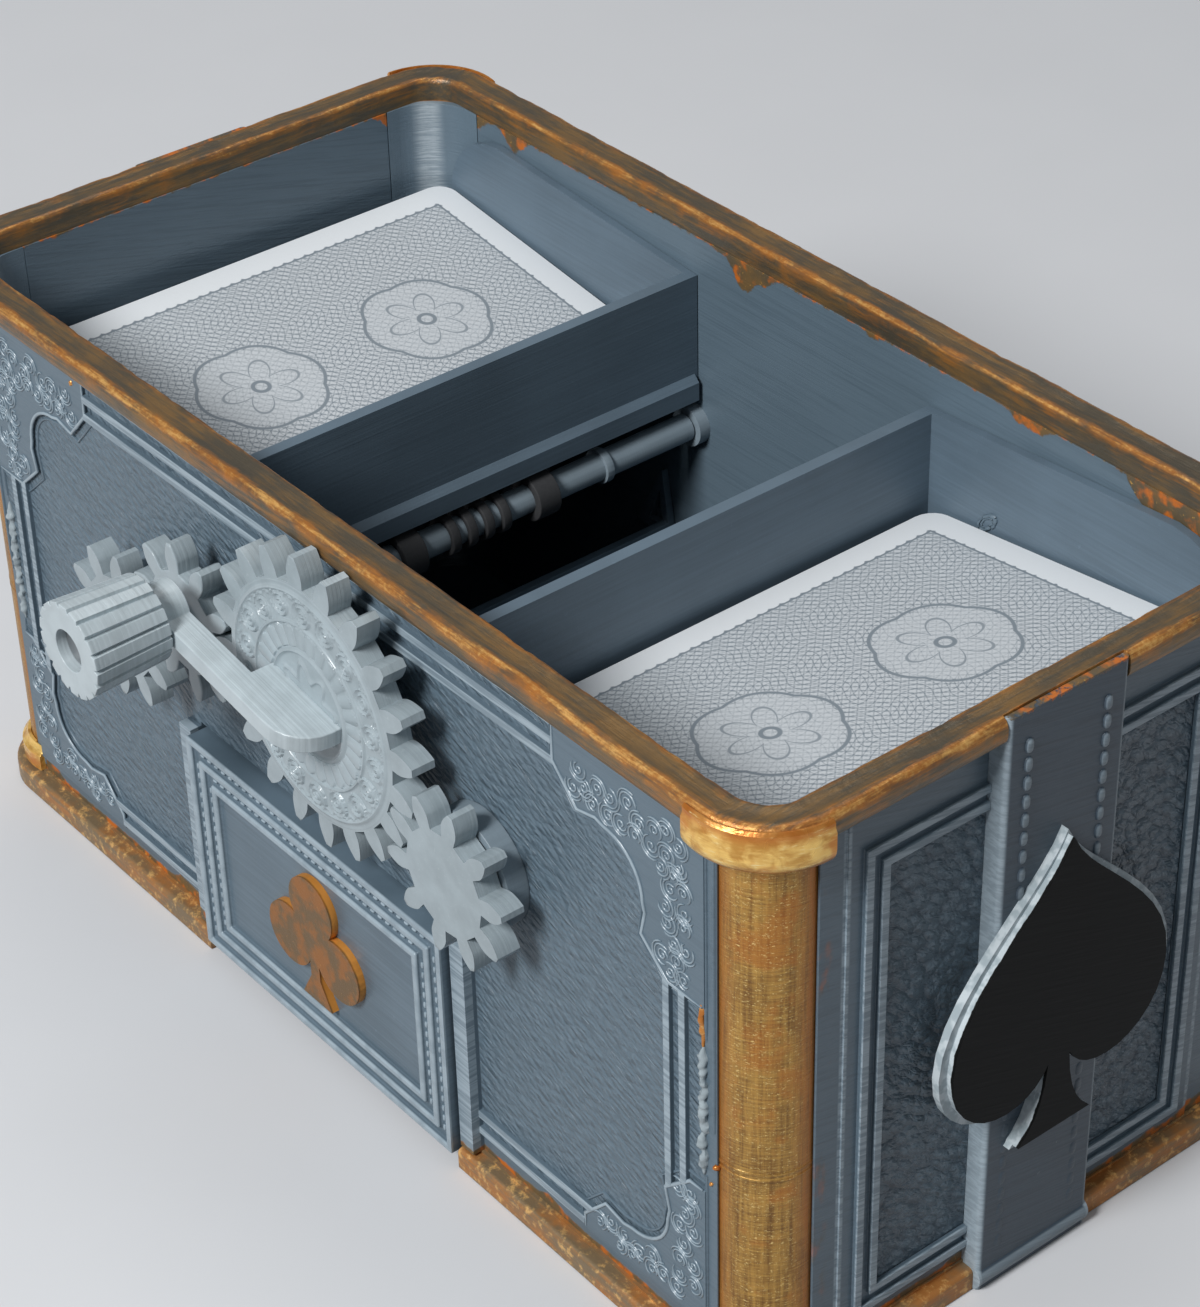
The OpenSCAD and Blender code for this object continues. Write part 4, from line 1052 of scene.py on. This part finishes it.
def glue_and_drips(plastic, gold):
    """Rough bead of glue beside the front columns, and drips and dots of gold paint."""
    bead = bmesh.new()
    bead_x, bead_y, bead_low, bead_high = 88.9, -WALL_Y - 0.1, 37, 60.5
    steps = 70

    def bead_radius(share):
        return 0.56 * min(1, 12 * share, 12 * (1 - share)) + 0.08

    for s in (1, -1):
        heights = [bead_low + (bead_high - bead_low) * i / steps for i in range(steps + 1)]
        points = [Vector((s * bead_x, bead_y, z)) for z in heights]
        lumpy_strand(bead, points, bead_radius, 5 + s)
    piece("glue_bead", bead, plastic, "shell", 60)
    drips = bmesh.new()
    points = [Vector((bead_x, bead_y, bead_high - 0.5 + 11 * i / 24)) for i in range(25)]
    lumpy_strand(drips, points, lambda share: 0.08 + 0.42 * math.sin(math.pi * share) ** 0.7, 31)
    for x, z, size in ((91.0, 39.7, 0.5), (-62.1, 95.6, 0.8), (89.9, 35.8, 0.35), (-60.6, 96.4, 0.4)):
        def dot_radius(share, size=size):
            return size * math.sin(math.pi * (share * 0.8 + 0.1))

        points = [Vector((x + 0.25 * i, -WALL_Y, z + 0.2 * i)) for i in range(4)]
        lumpy_strand(drips, points, dot_radius, 7)
    piece("paint_drips", drips, gold, "shell", 60)


def tray_mark(plastic):
    """Small slanted dent with a raised rim on the back side wall of the right tray."""
    bm = bmesh.new()
    centre = Vector((42.6, 46.35, 79.4))
    along = Vector((0.72, 0, 0.69))
    across = Vector((-0.69, 0, 0.72))
    half_length, half_width, steps = 2.3, 0.95, 28
    for grow, radius in ((1.0, 0.34), (0.62, 0.24)):
        points = []
        for i in range(steps + 1):
            a = 2 * math.pi * i / steps
            aside = across * (half_width * grow * math.sin(a))
            points.append(centre + along * (half_length * grow * math.cos(a)) + aside)
        lumpy_strand(bm, points, lambda share, radius=radius: radius, 3)
    piece("tray_dent", bm, plastic, "shell", 60)


# Solids, camera and light

def dress_solids():
    """Gives every solid its finish, and returns those that added pieces use too."""
    body = printed("body_plastic", BODY)
    tray = printed("tray_plastic", shade(98, 116, 130), gloss=0.38)
    gear = gear_plastic()
    gold = column_paint()
    smooth_gold = collar_paint()
    metal = steel()
    tyre = rubber()
    bush = printed("bush_plastic", shade(132, 147, 157), "y", 0.4)
    dress("front_wall", leather_wall("front_leather", True))
    dress("back_wall", leather_wall("back_leather", False))
    dress("end_wall_right", hammered_wall("right_hammered", 1))
    dress("end_wall_left", hammered_wall("left_hammered", -1))
    strap = strap_plastic()
    dress("strap_left strap_right", strap, 0.3, 3)
    dress("floor_plate bin_wall_left bin_wall_right drawer_box", tray, 0.2)
    dress("tray_left tray_right", tray, 0.3, 3)
    dress("drawer_front", raised_plastic("drawer_plastic", DRAWER_FACE - 0.5), 0.35, 3)
    dress("base_trim", moulding_paint(), 0.3, 3)
    dress("column_front_left column_front_right column_back_left column_back_right", gold, 0.2)
    dress("column_collars column_bases", smooth_gold, 0.35, 3)
    dress("spade_right", spade_paint(1), 0.22, 3)
    dress("spade_left", spade_paint(-1), 0.22, 3)
    dress("club_emblem", club_paint(), 0.3, 3)
    dress("crank_gear idler_gear pinion_left pinion_right idler_cap", gear, 0.22)
    # The crank arm and knob get a paler copy of the gear plastic: painted light, as if more lit
    dress("crank_arm crank_knob", gear_plastic("crank_grey_painted_light", shade(188, 200, 205)), 0.3, 3)
    dress("feed_bushes exit_bushes crank_bush idler_axle", bush, 0.2)
    dress("exit_roller_left exit_roller_right", bush, 0.15)
    dress("crank_axle feed_shaft_left feed_shaft_right knob_pin", metal, 0.15)
    dress("crank_clip shaft_clip_left shaft_clip_right", metal, 0.1)
    dress("feed_tyres_left feed_tyres_right exit_tyres_left exit_tyres_right", tyre, 0.2)
    dress("top_rim card_pack_left card_pack_right", body, 0)
    return body, strap, gear, smooth_gold


def set_camera():
    """Camera at the place from which the picture was taken."""
    focal_px, picture_h_px = 3403.48, 1307
    place = Vector((348.13, -270.64, 364.67)) * MM
    yaw, pitch, roll = (math.radians(a) for a in (51.75, -35.21, 1.53))
    ahead = Vector((-math.sin(yaw) * math.cos(pitch), math.cos(yaw) * math.cos(pitch), math.sin(pitch)))
    right = ahead.cross(Vector((0, 0, 1))).normalized()
    down = ahead.cross(right)
    level = right * math.cos(roll) + down * math.sin(roll)
    up = right * math.sin(roll) - down * math.cos(roll)
    turn = Matrix((level, up, -ahead)).transposed().to_4x4()
    lens = bpy.data.cameras.new("camera")
    lens.sensor_fit = "VERTICAL"
    lens.sensor_height = 36
    lens.lens = focal_px / picture_h_px * lens.sensor_height
    lens.clip_start = 0.01
    eye = bpy.data.objects.new("camera", lens)
    eye.matrix_world = Matrix.Translation(place) @ turn
    bpy.context.scene.collection.objects.link(eye)
    bpy.context.scene.camera = eye


def lamp(name, place, towards, size, power):
    """A round soft lamp, placed in metres and aimed at a point."""
    light = bpy.data.lights.new(name, "AREA")
    light.shape = "DISK"
    light.size = size
    light.energy = power
    made = bpy.data.objects.new(name, light)
    made.location = place
    aim = Vector(towards) - Vector(place)
    made.rotation_euler = aim.to_track_quat("-Z", "Y").to_euler()
    bpy.context.scene.collection.objects.link(made)


def set_studio():
    """Pale floor and plain soft light, the strongest from above and from the camera's left."""
    bm = bmesh.new()
    reach = 6.0
    corners = [(-reach, -reach), (reach, -reach), (reach, reach), (-reach, reach)]
    bm.faces.new([bm.verts.new((x, y, -0.0002)) for x, y in corners])
    mesh = bpy.data.meshes.new("floor")
    bm.to_mesh(mesh)
    bm.free()
    floor = bpy.data.objects.new("floor", mesh)
    bpy.context.scene.collection.objects.link(floor)
    f = Finish("floor_paper")
    grain = f.noise(0.02, detail=3)
    seen = f.node("ShaderNodeLightPath", output="Is Camera Ray")
    mirrored = f.node("ShaderNodeLightPath", output="Is Glossy Ray")
    pale = f.mix((0.66, 0.67, 0.69), (0.7, 0.71, 0.73), grain)
    mesh.materials.append(f.done(f.mix((0.2, 0.2, 0.21), pale, seen.most(mirrored)), 0.8))
    world = bpy.data.worlds.new("studio")
    world.use_nodes = True
    backdrop = world.node_tree.nodes["Background"]
    backdrop.inputs["Color"].default_value = (0.92, 0.96, 1.0, 1)
    backdrop.inputs["Strength"].default_value = 0.24
    bpy.context.scene.world = world
    lamp("key", (0.2, -1.25, 1.2), (0, 0, 0.05), 0.55, 27)
    lamp("top", (-0.3, 0.4, 1.5), (0, 0, 0.05), 0.8, 3.5)
    bpy.context.scene.view_settings.view_transform = "Standard"


set_camera()
set_studio()
body_plastic, strap_finish, gear_grey, gold_paint = dress_solids()
rim()
paper = card_paper()
card_stack(1, paper)
card_stack(-1, paper)
relief = raised_plastic("relief_plastic", WALL_Y + PLATE_PROUD + 0.02, 0.2)
scrollwork(True, relief)
scrollwork(False, relief)
strap_stitching(1, strap_finish)
strap_stitching(-1, strap_finish)
drawer_stitching(raised_plastic("stitch_plastic", DRAWER_FACE - 0.75))
gear_rosette(gear_grey)
glue_and_drips(gear_grey, gold_paint)
tray_mark(body_plastic)
